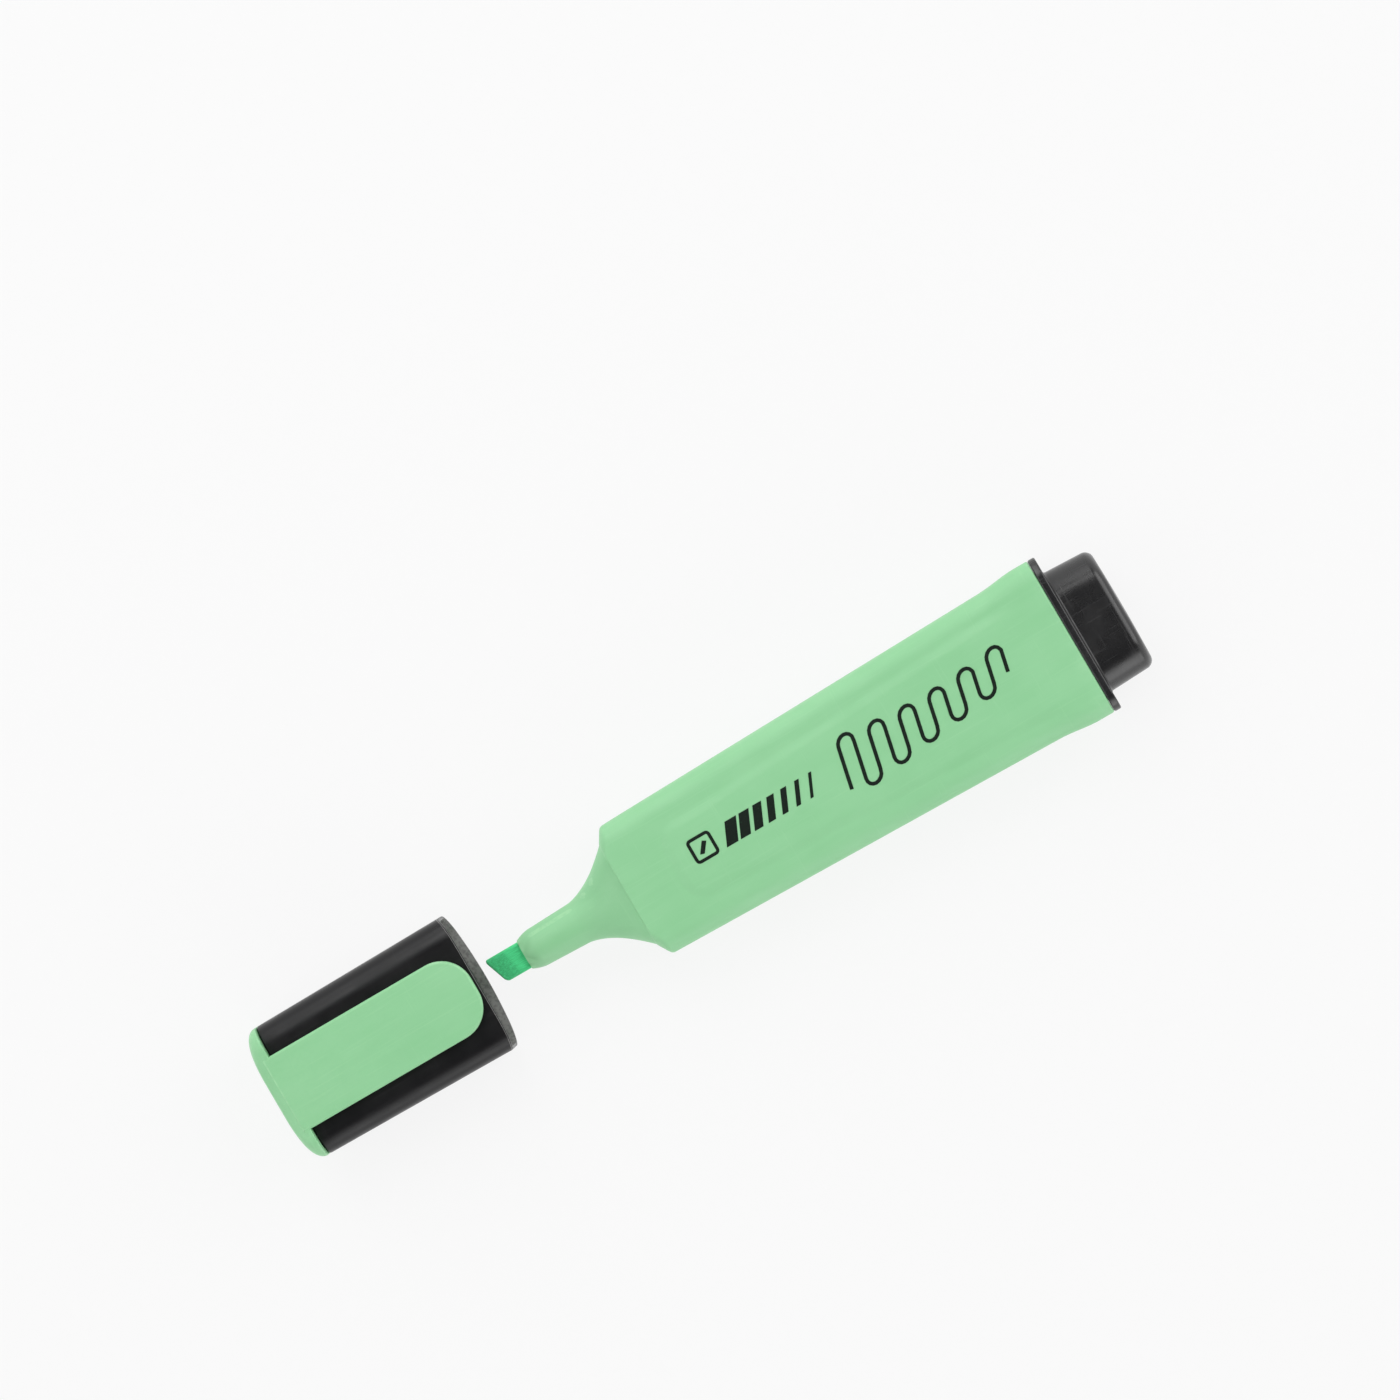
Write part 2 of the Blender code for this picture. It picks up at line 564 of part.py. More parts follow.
def cover_cup():
    """Rings of the end cover: the inside floor first, then the rim and the domed end, level with the clip."""
    outer = cap_half_width(COVER_EDGE_X)
    inner = outer - COVER_WALL, CAP_HALF_Z - COVER_WALL, CAP_CORNER - COVER_WALL
    fillet = COVER_FILLET / 2
    rings = [
        section(COVER_FLOOR_X, inner[0] - COVER_WALL, inner[1] - COVER_WALL, inner[2]),
        section(COVER_FLOOR_X + COVER_FILLET, inner[0] - fillet, inner[1] - fillet, inner[2]),
        section(COVER_EDGE_X, *inner),
    ]
    flat = COVER_ROUNDING * COVER_FLATNESS
    for step in range(ROUNDING_STEPS + 1):
        angle = step / ROUNDING_STEPS * math.pi / 2
        x = COVER_EDGE_X - (COVER_SKIRT - COVER_DOME) * math.sin(angle)
        bite = 1 - math.cos(angle)
        ring = section(x, outer - COVER_ROUNDING * bite, CAP_HALF_Z - flat * bite, CAP_CORNER)
        rings.append(raised(ring, COVER_RISE))
    half_y, half_z = outer - COVER_ROUNDING, CAP_HALF_Z - flat
    for share in (2 * COVER_CROWN, COVER_CROWN):
        x = CAP_END_X + COVER_DOME * (share**2 - COVER_CROWN**2)
        ring = section(x, half_y * share, half_z * share, CAP_CORNER * share)
        rings.append(raised(ring, COVER_RISE * share))
    return rings


def add_snap_legs(cover):
    """Two hooked legs that pass through the sleeve's web."""
    hook_x = WEB_X + SEAT_GAP
    hook_end = hook_x + HOOK_THICKNESS
    tall = -LEG_WIDTH / 2, LEG_WIDTH / 2
    for side in (-1, 1):
        ends = COVER_FLOOR_X - OVERLAP, hook_end + CLIP_EDGE
        leg = [rectangle(x, leg_span(side, 0), tall) for x in ends]
        combine(cover, f"snap_leg_{side}", leg, "UNION")
        hook = sorted((side * LEG_Y, side * (LEG_Y + LEG_THICKNESS / 2 + LEG_HOOK)))
        rings = [rectangle(x, hook, tall) for x in (hook_x, hook_end)]
        combine(cover, f"leg_hook_{side}", rings, "UNION")


def add_clip(cover):
    """The tongue and the bump under its free end that grips a page or a pocket."""
    top = CLIP_BOTTOM_Z + CLIP_THICKNESS
    levels = [(CLIP_BOTTOM_Z, 0), (top - CLIP_EDGE, 0), (top, CLIP_EDGE)]
    combine(cover, "tongue", [clip_outline(z, inset) for z, inset in levels], "UNION")
    bump_x = CLIP_END_X - CLIP_BUMP_SETBACK
    across = -CLIP_WIDTH / 4, CLIP_WIDTH / 4
    inside_tongue = CLIP_BOTTOM_Z - AXIS_Z + OVERLAP
    shallow, deep = inside_tongue - OVERLAP / 2, CAP_HALF_Z + SEAT_GAP
    bump = []
    for third, low in enumerate((shallow, deep, deep, shallow)):
        bump.append(rectangle(bump_x + CLIP_BUMP_LENGTH * third / 3, across, (low, inside_tongue)))
    combine(cover, "gripping_bump", bump, "UNION")


def make_clip_cover(frame):
    """The green end cover and the clip, one moulding."""
    green = material("cover_green_plastic", (0.29, 0.65, 0.33), 0.42)
    cover = shell("clip_cover", cover_cup(), green, frame)
    add_snap_legs(cover)
    add_clip(cover)


def make_inner_cap(frame):
    """The sealing liner: a bore that closes over the nozzle, and a socket that sits on the sleeve's boss."""
    rear_x = WEB_X + SEAT_GAP
    rings = [
        circle(INNER_CAP_FLOOR_X - INNER_CAP_WALL, INNER_CAP_BORE),
        circle(rear_x, INNER_CAP_BORE),
        circle(rear_x, INNER_CAP_RADIUS),
        circle(INNER_CAP_MOUTH_X, INNER_CAP_RADIUS),
        circle(INNER_CAP_MOUTH_X, INNER_CAP_BORE + INNER_CAP_WALL / 2),
        circle(INNER_CAP_MOUTH_X - INNER_CAP_LEAD, INNER_CAP_BORE),
        circle(INNER_CAP_FLOOR_X, INNER_CAP_BORE),
    ]
    shell("inner_cap", rings, material("natural_liner_plastic", (0.75, 0.77, 0.73), 0.4), frame)


def main():
    for old in list(bpy.data.objects):
        bpy.data.objects.remove(old)
    pen = frame_empty("pen_frame", SHOULDER_X)
    cap = frame_empty("cap_frame", CAP_MOUTH_X)
    make_barrel(pen)
    make_nib(pen)
    make_reservoir(pen)
    make_end_plug(pen)
    make_cap_sleeve(cap)
    make_clip_cover(cap)
    make_inner_cap(cap)


main()
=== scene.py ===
"""Visual model of a flat chisel-tip highlighter with its cap off, built around its CAD frame.

+X runs from the cap to the end plug and +Z is up. Sizes are in millimetres until a mesh is made;
the stage at the end is in metres. In a name, X or Z alone is a place on that axis, HALF is half a
size, and a pair of halves is (half width, half height).
"""

import json
import math

import bmesh
import bpy
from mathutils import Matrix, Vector

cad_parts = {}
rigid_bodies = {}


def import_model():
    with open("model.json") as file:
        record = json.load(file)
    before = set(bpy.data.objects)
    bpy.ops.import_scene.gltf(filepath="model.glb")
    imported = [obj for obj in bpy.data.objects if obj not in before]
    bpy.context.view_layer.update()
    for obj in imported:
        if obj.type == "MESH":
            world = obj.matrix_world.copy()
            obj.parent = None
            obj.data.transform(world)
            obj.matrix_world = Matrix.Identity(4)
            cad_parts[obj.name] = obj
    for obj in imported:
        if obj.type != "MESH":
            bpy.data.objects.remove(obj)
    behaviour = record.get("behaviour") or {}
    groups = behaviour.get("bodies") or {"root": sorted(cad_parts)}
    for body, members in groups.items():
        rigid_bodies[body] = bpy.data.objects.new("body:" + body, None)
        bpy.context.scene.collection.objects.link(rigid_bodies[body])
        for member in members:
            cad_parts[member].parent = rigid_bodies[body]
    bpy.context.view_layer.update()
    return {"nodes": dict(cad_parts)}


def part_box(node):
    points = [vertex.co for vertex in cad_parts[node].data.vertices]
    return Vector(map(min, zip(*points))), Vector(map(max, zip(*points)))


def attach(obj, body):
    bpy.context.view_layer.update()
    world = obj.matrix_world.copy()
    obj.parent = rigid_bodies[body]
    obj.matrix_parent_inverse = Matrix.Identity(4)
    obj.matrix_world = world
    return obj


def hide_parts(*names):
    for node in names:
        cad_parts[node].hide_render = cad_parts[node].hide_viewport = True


for startup in list(bpy.data.objects):
    bpy.data.objects.remove(startup)
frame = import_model()

MM = 0.001


def node_box(name):
    """Lowest and highest corner of a CAD node, in millimetres."""
    low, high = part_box(name)
    return low / MM, high / MM


BARREL_LOW, BARREL_HIGH = node_box("barrel")
NIB_LOW, NIB_HIGH = node_box("nib")
PLUG_LOW, PLUG_HIGH = node_box("end_plug")
SLEEVE_HIGH = node_box("cap_sleeve")[1]
COVER_LOW, COVER_HIGH = node_box("clip_cover")
LINER_LOW, LINER_HIGH = node_box("inner_cap")
CORE_LOW, CORE_HIGH = node_box("reservoir_core")
FILM_HIGH = node_box("reservoir_film")[1]
AXIS_Z = (BARREL_LOW.z + BARREL_HIGH.z) / 2

# Lengths shared by several pieces.
SLIP = 0.15  # between pieces that slide into each other, and small chamfers
SEAT_GAP = 0.2  # between pieces that rest side by side
OVERLAP = 0.4  # how deep a part of a moulding is sunk into the rest before they are joined

# Barrel, from the nozzle's mouth to the rear.
NOZZLE_LENGTH = 9.1
BELL_LENGTH = 9.1
CREASE_LENGTH = 1.4  # from the bell to the shoulder
FLARE_LENGTH = 7.0
REAR_LENGTH = 2.4  # behind the flare
NOSE_X = BARREL_LOW.x
BELL_X = NOSE_X + NOZZLE_LENGTH
CREASE_X = BELL_X + BELL_LENGTH
SHOULDER_X = CREASE_X + CREASE_LENGTH
BARREL_END_X = BARREL_HIGH.x
WAIST_X = BARREL_END_X - REAR_LENGTH - FLARE_LENGTH
NOSE_CONE = 2.2
NOSE_SWELL = 0.7  # 0 is a straight cone
NOSE_LIP = 0.1
NOSE_RADIUS = 3.08
NOZZLE_RADIUS = 3.33
BELL_HALF = Vector((8.6, 6.7))
BELL_POWER = 1.6
SHOULDER_HALF_Y = 10.9
WAIST_HALF_Y = 12.35
END_HALF_Y = BARREL_HIGH.y
END_HALF_Z = BARREL_HIGH.z - AXIS_Z
PAD_RISE = 0.35
FACE_HALF_Z = END_HALF_Z - PAD_RISE  # the wide faces, lower than the pads on them
BARREL_CORNER = 3.0
BARREL_WALL = 1.2
CREASE_RADIUS = 0.3
CREASE_STEP = 0.05
SHOULDER_SOFTNESS = 0.6
RIM_RADIUS = 0.3
SEAM_HEIGHT = 0.03  # the mould's parting line along both narrow sides
SEAM_HALF_WIDTH = 0.1
SEAM_FADE = 2.0
SEAM_PAST_WAIST = 3.0
PAD_X = SHOULDER_X + 6.3
PAD_MARGINS = (1.6, 0.1)  # from the pad's foot to the rounded side, in front and at the rear
PAD_CORNER = 3.8
PAD_SLOPE = 2.0
PAD_LEAST = 0.3  # the least half width of its flat, ahead of its front

# Inside the barrel.
SOCKET_HALF = Vector((WAIST_HALF_Y - BARREL_WALL, FACE_HALF_Z - BARREL_WALL))
BORE_HALF = Vector((NIB_HIGH.y + SLIP, (NIB_HIGH.z - NIB_LOW.z) / 2 + SLIP))
BORE_CORNER = 0.5
VENT_HALF_WIDTH = 0.4
VENT_DEPTH = 0.5
RIB_HALF = 0.4
RIB_Y = 4.0
RIB_SETBACK = 1.0  # ahead of the wadding's rear
STOP_Y = 5.2
STOP_HALF = 0.5
VENT_REACH = 0.25  # how far the vents run into the bell, as a share of its length

# Nib.
NIB_WEDGE = 3.2
NIB_EDGE_HALF = 0.75
NIB_SLANT = 0.35
NIB_TIP_ROUNDING = 0.3
NIB_SIDE_ROUNDING = 1.6  # the tip's rounding across the width, against that across the thickness
NIB_CORNER = 0.5
NIB_TAIL = 4.0

# End plug.
FLANGE_GAP = 0.03
FLANGE_REACH = 1.2
FLANGE_X = BARREL_END_X + FLANGE_GAP
FLANGE_END_X = BARREL_END_X + FLANGE_REACH
FLANGE_RADIUS = 0.25
POST_END_X = PLUG_HIGH.x
POST_HALF = Vector((10.15, 6.85))
POST_CORNER = 4.8
POST_DRAFT = 0.25  # how much narrower the post is at its end, on each side
POST_ROUNDING = 1.4
POST_ROOT = 0.35  # the fillet between flange and post
POST_CROWN = 0.15
PLUG_WALL = 1.2
PLUG_CHAMFER = 0.25
SKIRT_LENGTH = 6.0

# Cap.
CAP_HALF_Z = SLEEVE_HIGH.z - AXIS_Z
CAP_END_X = COVER_LOW.x
CAP_MOUTH_X = SLEEVE_HIGH.x
CAP_HALF_WIDTHS = (10.9, SLEEVE_HIGH.y)  # closed end, mouth
CAP_CORNER = 3.4
CAP_WALL = 1.0
MOUTH_RADIUS = 0.25
MOUTH_LEAD = Vector((1.5, 0.5))  # the bevel inside the mouth, along X and across the wall
MOUTH_CREST = 0.05  # from the bevel's front edge to the mouth's end
LIP_CURVE = 0.8  # how far the mouth runs back at its corners
LIP_POWERS = (8, 2)  # upper lip, lower lip; a high power turns back only close to the corner
LIP_BLEND = 0.4  # how far below the axis the lower lip's curve is reached, against the half height
WEB = 1.1
SPIGOT_LENGTH = 1.1
SPIGOT_TAPER = 0.2
COVER_LENGTH = 2.9
COVER_EDGE_X = CAP_END_X + COVER_LENGTH
COVER_WALL = 0.9
COVER_DOME = 0.25
COVER_END_WALL = 1.2
COVER_FLOOR_X = CAP_END_X + COVER_DOME + COVER_END_WALL
COVER_ROUNDING = 5.0  # of the corners seen from above
COVER_FLATNESS = 0.38  # the rounding seen from the side, against that seen from above
COVER_EDGE_RADIUS = 0.15
WEB_X = COVER_EDGE_X + 0.8
CLIP_TOP_Z = COVER_HIGH.z
CLIP_THICKNESS = 1.2
CLIP_BOTTOM_Z = CLIP_TOP_Z - CLIP_THICKNESS
CLIP_END_X = COVER_HIGH.x
CLIP_HALF_WIDTH = 6.2
CLIP_CORNER = 5.0
CLIP_RADIUS = 0.4
CLIP_STEP = 0.02  # the tongue's face above the end cover's, too little to see
CLIP_ROOT = 1.2  # how far the tongue reaches into the end cover's rim
BUMP_SETBACK = 4.5
BUMP_LENGTH = 3.0
LEG_HALF_WIDTH = 2.0
LEG_THICKNESS = 1.2
HOOK_REACH = 0.5
HOOK_THICKNESS = 0.6
HOOK_TAIL = 0.35  # the leg's end beyond its hook
LINER_RADIUS = LINER_HIGH.y
LINER_WALL = 1.0
LINER_BORE = LINER_RADIUS - LINER_WALL
LINER_DEPTH = 16.4  # from its mouth to its floor
LINER_LEAD = 0.8
LINER_CHAMFER = 0.2
LEG_CLEARANCE = 0.58  # between a snap leg and the liner
LEG_Y = LINER_RADIUS + LEG_CLEARANCE + LEG_THICKNESS / 2
GUIDE_HALF = 0.6
GUIDE_LENGTH = 14.0

# Facets.
SIDE_STEPS = 4
CORNER_STEPS = 12
SLOPE_STEPS = 7
FLAT_STEPS = 5
ARC_STEPS = 6
NOSE_STEPS = 12
CORNER_LIMIT = 0.95  # the roundest corner, as a share of the smaller half size
FLAT_SHARES = (0.5, 0.85)  # where a ring without a pad has the points of its slope
CROWN_SHARES = (0.9, 0.75, 0.6, 0.45, 0.3, 0.15, 0.05)  # rings on the post's end, from its edge inwards
SMOOTH_ANGLE = math.radians(32)


def smoothstep(t):
    t = min(max(t, 0), 1)
    return t * t * (3 - 2 * t)


def mix(a, b, t):
    return a + (b - a) * t


def stations(start, end, count):
    """count + 1 evenly spaced places, with both ends."""
    return [mix(start, end, step / count) for step in range(count + 1)]


def arc(steps=ARC_STEPS):
    """(sine, cosine) along a quarter turn, from 0 to 90 degrees."""
    angles = [step / steps * math.pi / 2 for step in range(steps + 1)]
    return [(math.sin(a), math.cos(a)) for a in angles]


# Rings across X ------------------------------------------------------------------------------


def squared_quadrant(half_y, half_z, corner, pad, seam):
    """From the middle of a narrow side to the middle of a wide face. pad is the half width of its flat,
    the half width at its foot, and its height."""
    half_pad, foot, rise = pad
    side = half_z - corner
    near = min(SEAM_HALF_WIDTH, side / SIDE_STEPS)
    points = [(half_y + seam, 0), (half_y, near)]
    for step in range(1, SIDE_STEPS - 1):
        points.append((half_y, mix(near, side, step / (SIDE_STEPS - 1))))
    for sine, cosine in arc(CORNER_STEPS):
        points.append((half_y - corner + corner * cosine, side + corner * sine))
    for step in range(SLOPE_STEPS + 1):
        t = step / SLOPE_STEPS
        points.append((mix(foot, half_pad, t), half_z + rise * smoothstep(t)))
    for step in range(1, FLAT_STEPS + 1):
        points.append((half_pad * (1 - step / FLAT_STEPS), half_z + rise))
    return points


def round_quadrant(half_y, half_z, count):
    angles = [step / (count - 1) * math.pi / 2 for step in range(count)]
    return [(half_y * math.cos(a), half_z * math.sin(a)) for a in angles]


def section(x, half_y, half_z, corner=0.0, squareness=1.0, pad=None, seam=0.0, slant=0.0, rise=0.0):
    """One ring across X. squareness 0 is an ellipse, 1 a rounded rectangle; slant leans it back in X,
    and rise lifts its upper half. Every ring has the same number of points, so any two can be joined."""
    corner = min(corner, CORNER_LIMIT * min(half_y, half_z))
    flat = half_y - corner
    level = FLAT_SHARES[0] * flat, FLAT_SHARES[1] * flat, 0.0
    squared = squared_quadrant(half_y, half_z, corner, pad or level, seam)
    rounded = round_quadrant(half_y, half_z, len(squared))
    quadrant = []
    for (sy, sz), (ry, rz) in zip(squared, rounded):
        quadrant.append((mix(ry, sy, squareness), mix(rz, sz, squareness)))
    inner = quadrant[1:-1]
    ring = [(y, z) for y, z in quadrant]
    ring += [(-y, z) for y, z in reversed(quadrant[:-1])]
    ring += [(-y, -z) for y, z in quadrant[1:]]
    ring += [(y, -z) for y, z in reversed(inner)]
    placed = []
    for y, z in ring:
        lifted = rise * smoothstep(0.5 + z / half_z) if rise else 0.0
        placed.append((x + slant * (half_y - y), y, AXIS_Z + z + lifted))
    return placed


def circle(x, radius):
    return section(x, radius, radius, radius, squareness=0.0)


def box_ring(x, y_range, z_range):
    """A four-cornered ring at x; y and z are measured from the axis."""
    (y0, y1), (z0, z1) = y_range, z_range
    return [(x, y, AXIS_Z + z) for y, z in ((y0, z0), (y1, z0), (y1, z1), (y0, z1))]


def add_loft(mesh, rings, ring_shaped=False):
    """Joins rings into one closed body in a bmesh. A ring-shaped one runs back into its first ring."""
    rows = [[mesh.verts.new([c * MM for c in point]) for point in ring] for ring in rings]
    pairs = list(zip(rows, rows[1:]))
    faces = []
    if ring_shaped:
        pairs.append((rows[-1], rows[0]))
    else:
        faces += [mesh.faces.new(rows[0]), mesh.faces.new(rows[-1])]
    count = len(rows[0])
    for one, other in pairs:
        for i in range(count):
            j = (i + 1) % count
            faces.append(mesh.faces.new((one[i], one[j], other[j], other[i])))
    bmesh.ops.recalc_face_normals(mesh, faces=faces)


def make_object(name, mesh):
    data = bpy.data.meshes.new(name)
    mesh.to_mesh(data)
    mesh.free()
    made = bpy.data.objects.new(name, data)
    bpy.context.scene.collection.objects.link(made)
    return made


def loft(name, rings, ring_shaped=False):
    mesh = bmesh.new()
    add_loft(mesh, rings, ring_shaped)
    return make_object(name, mesh)


def combine(body, lofts, operation):
    """Adds closed lofts to a body (UNION) or cuts them out of it (DIFFERENCE)."""
    mesh = bmesh.new()
    for rings in lofts:
        add_loft(mesh, rings)
    other = make_object("other", mesh)
    modifier = body.modifiers.new(operation, "BOOLEAN")
    modifier.object = other
    modifier.operation = operation
    graph = bpy.context.evaluated_depsgraph_get()
    result = bpy.data.meshes.new_from_object(body.evaluated_get(graph))
    body.modifiers.clear()
    body.data = result
    bpy.data.objects.remove(other)


def finish_piece(piece, body, node, look):
    """Smooth shading, material, the body it rides on, and hiding the CAD node it takes over."""
    piece.data.name = piece.name
    piece.data.shade_smooth()
    piece.data.set_sharp_from_angle(angle=SMOOTH_ANGLE)
    piece.data.materials.clear()
    piece.data.materials.append(look)
    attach(piece, body)
    if node:
        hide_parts(node)


# Barrel --------------------------------------------------------------------------------------


def bell_sizes(x):
    """Half width, half height and squareness of the bell between the nozzle and the crease."""
    t = (x - BELL_X) / (CREASE_X - BELL_X)
    share = t**BELL_POWER
    half_y, half_z = mix(NOZZLE_RADIUS, BELL_HALF.x, share), mix(NOZZLE_RADIUS, BELL_HALF.y, share)
    return half_y, half_z, smoothstep(t)


def barrel_half_width(x):
    """Straight out from the crease to the shoulder, then the body's slow spread and its rear flare."""
    spread = mix(SHOULDER_HALF_Y, WAIST_HALF_Y, (x - SHOULDER_X) / (WAIST_X - SHOULDER_X))
    if x > WAIST_X:
        return mix(WAIST_HALF_Y, END_HALF_Y, smoothstep((x - WAIST_X) / FLARE_LENGTH))
    out = mix(BELL_HALF.x, SHOULDER_HALF_Y, (x - CREASE_X) / (SHOULDER_X - CREASE_X))
    blend = max(SHOULDER_SOFTNESS - abs(out - spread), 0) / SHOULDER_SOFTNESS
    return min(out, spread) - blend * blend * SHOULDER_SOFTNESS / 4


def barrel_half_height(x):
    return mix(FACE_HALF_Z, END_HALF_Z, smoothstep((x - WAIST_X) / FLARE_LENGTH))


def pad_at(x):
    """The pad's widths and height: a rounded front, edges that spread to the rear, lost in the flare."""
    along = max(x - PAD_X, 0)
    margin = mix(*PAD_MARGINS, min(along / (WAIST_X - PAD_X), 1))
    side = barrel_half_width(x) - BARREL_CORNER - PAD_SLOPE - margin
    short = max(PAD_CORNER - along, 0)
    half = max(side - PAD_CORNER + math.sqrt(PAD_CORNER**2 - short**2), PAD_LEAST)
    rise = (END_HALF_Z - barrel_half_height(x)) * smoothstep(along / PAD_SLOPE)
    return half, half + PAD_SLOPE, rise


def body_ring(x, inset=0.0):
    """A ring of the barrel behind the crease."""
    seam_end = WAIST_X + SEAM_PAST_WAIST
    fade = smoothstep((x - SHOULDER_X) / SEAM_FADE) * smoothstep((seam_end - x) / SEAM_FADE)
    half_y, half_z = barrel_half_width(x) - inset, barrel_half_height(x) - inset
    corner = BARREL_CORNER - inset / 2
    return section(x, half_y, half_z, corner, pad=pad_at(x), seam=SEAM_HEIGHT * fade)


def barrel_outside():
    """Rings from the nozzle's mouth to the rear rim."""
    rings = []
    lip = BORE_HALF.x + NOSE_LIP, BORE_HALF.y + VENT_DEPTH + NOSE_LIP
    for t in stations(0, 1, NOSE_STEPS):
        out = t * (1 + NOSE_SWELL - NOSE_SWELL * t)
        half_y, half_z = mix(lip[0], NOSE_RADIUS, out), mix(lip[1], NOSE_RADIUS, out)
        rings.append(section(NOSE_X + NOSE_CONE * t, half_y, half_z, half_z, squareness=1 - out))
    cone_x = NOSE_X + NOSE_CONE
    for x in stations(cone_x, BELL_X, 6)[1:-1]:
        rings.append(circle(x, mix(NOSE_RADIUS, NOZZLE_RADIUS, (x - cone_x) / (BELL_X - cone_x))))
    for x in stations(BELL_X, CREASE_X, 30):
        half_y, half_z, squareness = bell_sizes(x)
        rings.append(section(x, half_y, half_z, BARREL_CORNER, squareness))
    for sine, cosine in arc():
        x = CREASE_X + CREASE_STEP + CREASE_RADIUS * (1 - cosine)
        half_z = FACE_HALF_Z - CREASE_RADIUS * (1 - sine)
        rings.append(section(x, barrel_half_width(x), half_z, BARREL_CORNER, pad=pad_at(x)))
    spans = (
        (CREASE_X + 0.5, SHOULDER_X + 0.8, 16),
        (SHOULDER_X + 2.0, PAD_X - 0.4, 4),
        (PAD_X, PAD_X + PAD_SLOPE, 12),
        (PAD_X + PAD_SLOPE + 0.2, PAD_X + PAD_CORNER, 10),
        (PAD_X + 6.0, WAIST_X - 1.0, 12),
        (WAIST_X, WAIST_X + FLARE_LENGTH, 20),
    )
    for start, end, count in spans:
        rings += [body_ring(x) for x in stations(start, end, count)]
    for sine, cosine in arc():
        rings.append(body_ring(BARREL_END_X - RIM_RADIUS * (1 - sine), RIM_RADIUS * (1 - cosine)))
    return rings


def barrel_inside():
    """Rings from the rear socket to the bore around the nib."""
    corner = BARREL_CORNER - BARREL_WALL
    rings = [
        section(BARREL_END_X, SOCKET_HALF.x + SLIP, SOCKET_HALF.y + SLIP, corner),
        section(BARREL_END_X - SLIP, *SOCKET_HALF, corner),
        section(WAIST_X, *SOCKET_HALF, corner),
        section(SHOULDER_X + BARREL_WALL / 2, SHOULDER_HALF_Y - BARREL_WALL, SOCKET_HALF.y, corner),
    ]
    for x in stations(CREASE_X, BELL_X, 16)[:-3]:
        half_y, half_z, _ = bell_sizes(x)
        half_y = max(half_y - BARREL_WALL, BORE_HALF.x)
        half_z = max(half_z - BARREL_WALL, BORE_HALF.y)
        rings.append(section(x, half_y, half_z, corner))
    rings += [section(x, *BORE_HALF, BORE_CORNER) for x in (BELL_X, NOSE_X)]
    return rings


def barrel_ribs():
    """The ribs around the reservoir and the stops in front of it."""
    start, end = CORE_LOW.x, CORE_HIGH.x - RIB_SETBACK
    film_y, film_z = FILM_HIGH.y, FILM_HIGH.z - AXIS_Z
    low, high = film_z + SEAT_GAP, SOCKET_HALF.y + OVERLAP
    ribs = []
    near = film_y + SEAT_GAP
    for side in (-1, 1):
        for up in (-1, 1):
            across = side * RIB_Y - RIB_HALF, side * RIB_Y + RIB_HALF
            ribs.append([box_ring(x, across, sorted((up * low, up * high))) for x in (start, end)])
        rib = []
        for x in (start, end):
            wall = barrel_half_width(x) - BARREL_WALL + OVERLAP
            rib.append(box_ring(x, sorted((side * near, side * wall)), (-RIB_HALF, RIB_HALF)))
        ribs.append(rib)
        across = side * STOP_Y - STOP_HALF, side * STOP_Y + STOP_HALF
        ribs.append([box_ring(x, across, (-high, high)) for x in (CREASE_X + OVERLAP, start - SEAT_GAP)])
    return ribs


def make_barrel(look):
    """Bell, nozzle and body in one moulding, with ribs and stops inside and air vents along the bore."""
    barrel = loft("barrel_moulding", barrel_outside() + barrel_inside(), ring_shaped=True)
    combine(barrel, barrel_ribs(), "UNION")
    vents = []
    for up in (-1, 1):
        tall = sorted((up * (BORE_HALF.y - SLIP), up * (BORE_HALF.y + VENT_DEPTH)))
        ends = NOSE_X - VENT_DEPTH, mix(BELL_X, CREASE_X, VENT_REACH)
        vents.append([box_ring(x, (-VENT_HALF_WIDTH, VENT_HALF_WIDTH), tall) for x in ends])
    combine(barrel, vents, "DIFFERENCE")
    finish_piece(barrel, "pen", "barrel", look)


# Nib -----------------------------------------------------------------------------------------


def make_nib(look):
    """A flat bar of pressed fibre: slanted, thinned writing edge in front, pointed tail behind."""
    half_y, half_z = NIB_HIGH.y, (NIB_HIGH.z - NIB_LOW.z) / 2
    tip_x = NIB_LOW.x
    wedge_x = tip_x + NIB_WEDGE
    rings = []
    for sine, cosine in arc():
        x = tip_x + NIB_TIP_ROUNDING * (1 - sine)
        inset = NIB_TIP_ROUNDING * (1 - cosine)
        corner = mix(NIB_CORNER, NIB_CORNER / 2, 1 - cosine)
        width = half_y - inset * NIB_SIDE_ROUNDING
        rings.insert(0, section(x, width, NIB_EDGE_HALF - inset, corner, slant=NIB_SLANT))
    for x in stations(tip_x + NIB_TIP_ROUNDING, wedge_x, 8)[1:]:
        t = (x - tip_x - NIB_TIP_ROUNDING) / (NIB_WEDGE - NIB_TIP_ROUNDING)
        slant = NIB_SLANT * (1 - t / 2)
        rings.append(section(x, half_y, mix(NIB_EDGE_HALF, half_z, t), NIB_CORNER, slant=slant))
    for x in stations(wedge_x, NOSE_X, 4)[1:]:
        slant = NIB_SLANT / 2 * (NOSE_X - x) / (NOSE_X - wedge_x)
        rings.append(section(x, half_y, half_z, NIB_CORNER, slant=slant))
    tail_x = NIB_HIGH.x - NIB_TAIL
    rings += [section(x, half_y, half_z, NIB_CORNER) for x in stations(NOSE_X, tail_x, 8)[1:]]
    rings.append(section(NIB_HIGH.x, half_y / 2, half_z / 2, NIB_CORNER / 2))
    finish_piece(loft("nib_fibre", rings), "pen", "nib", look)


# End plug ------------------------------------------------------------------------------------


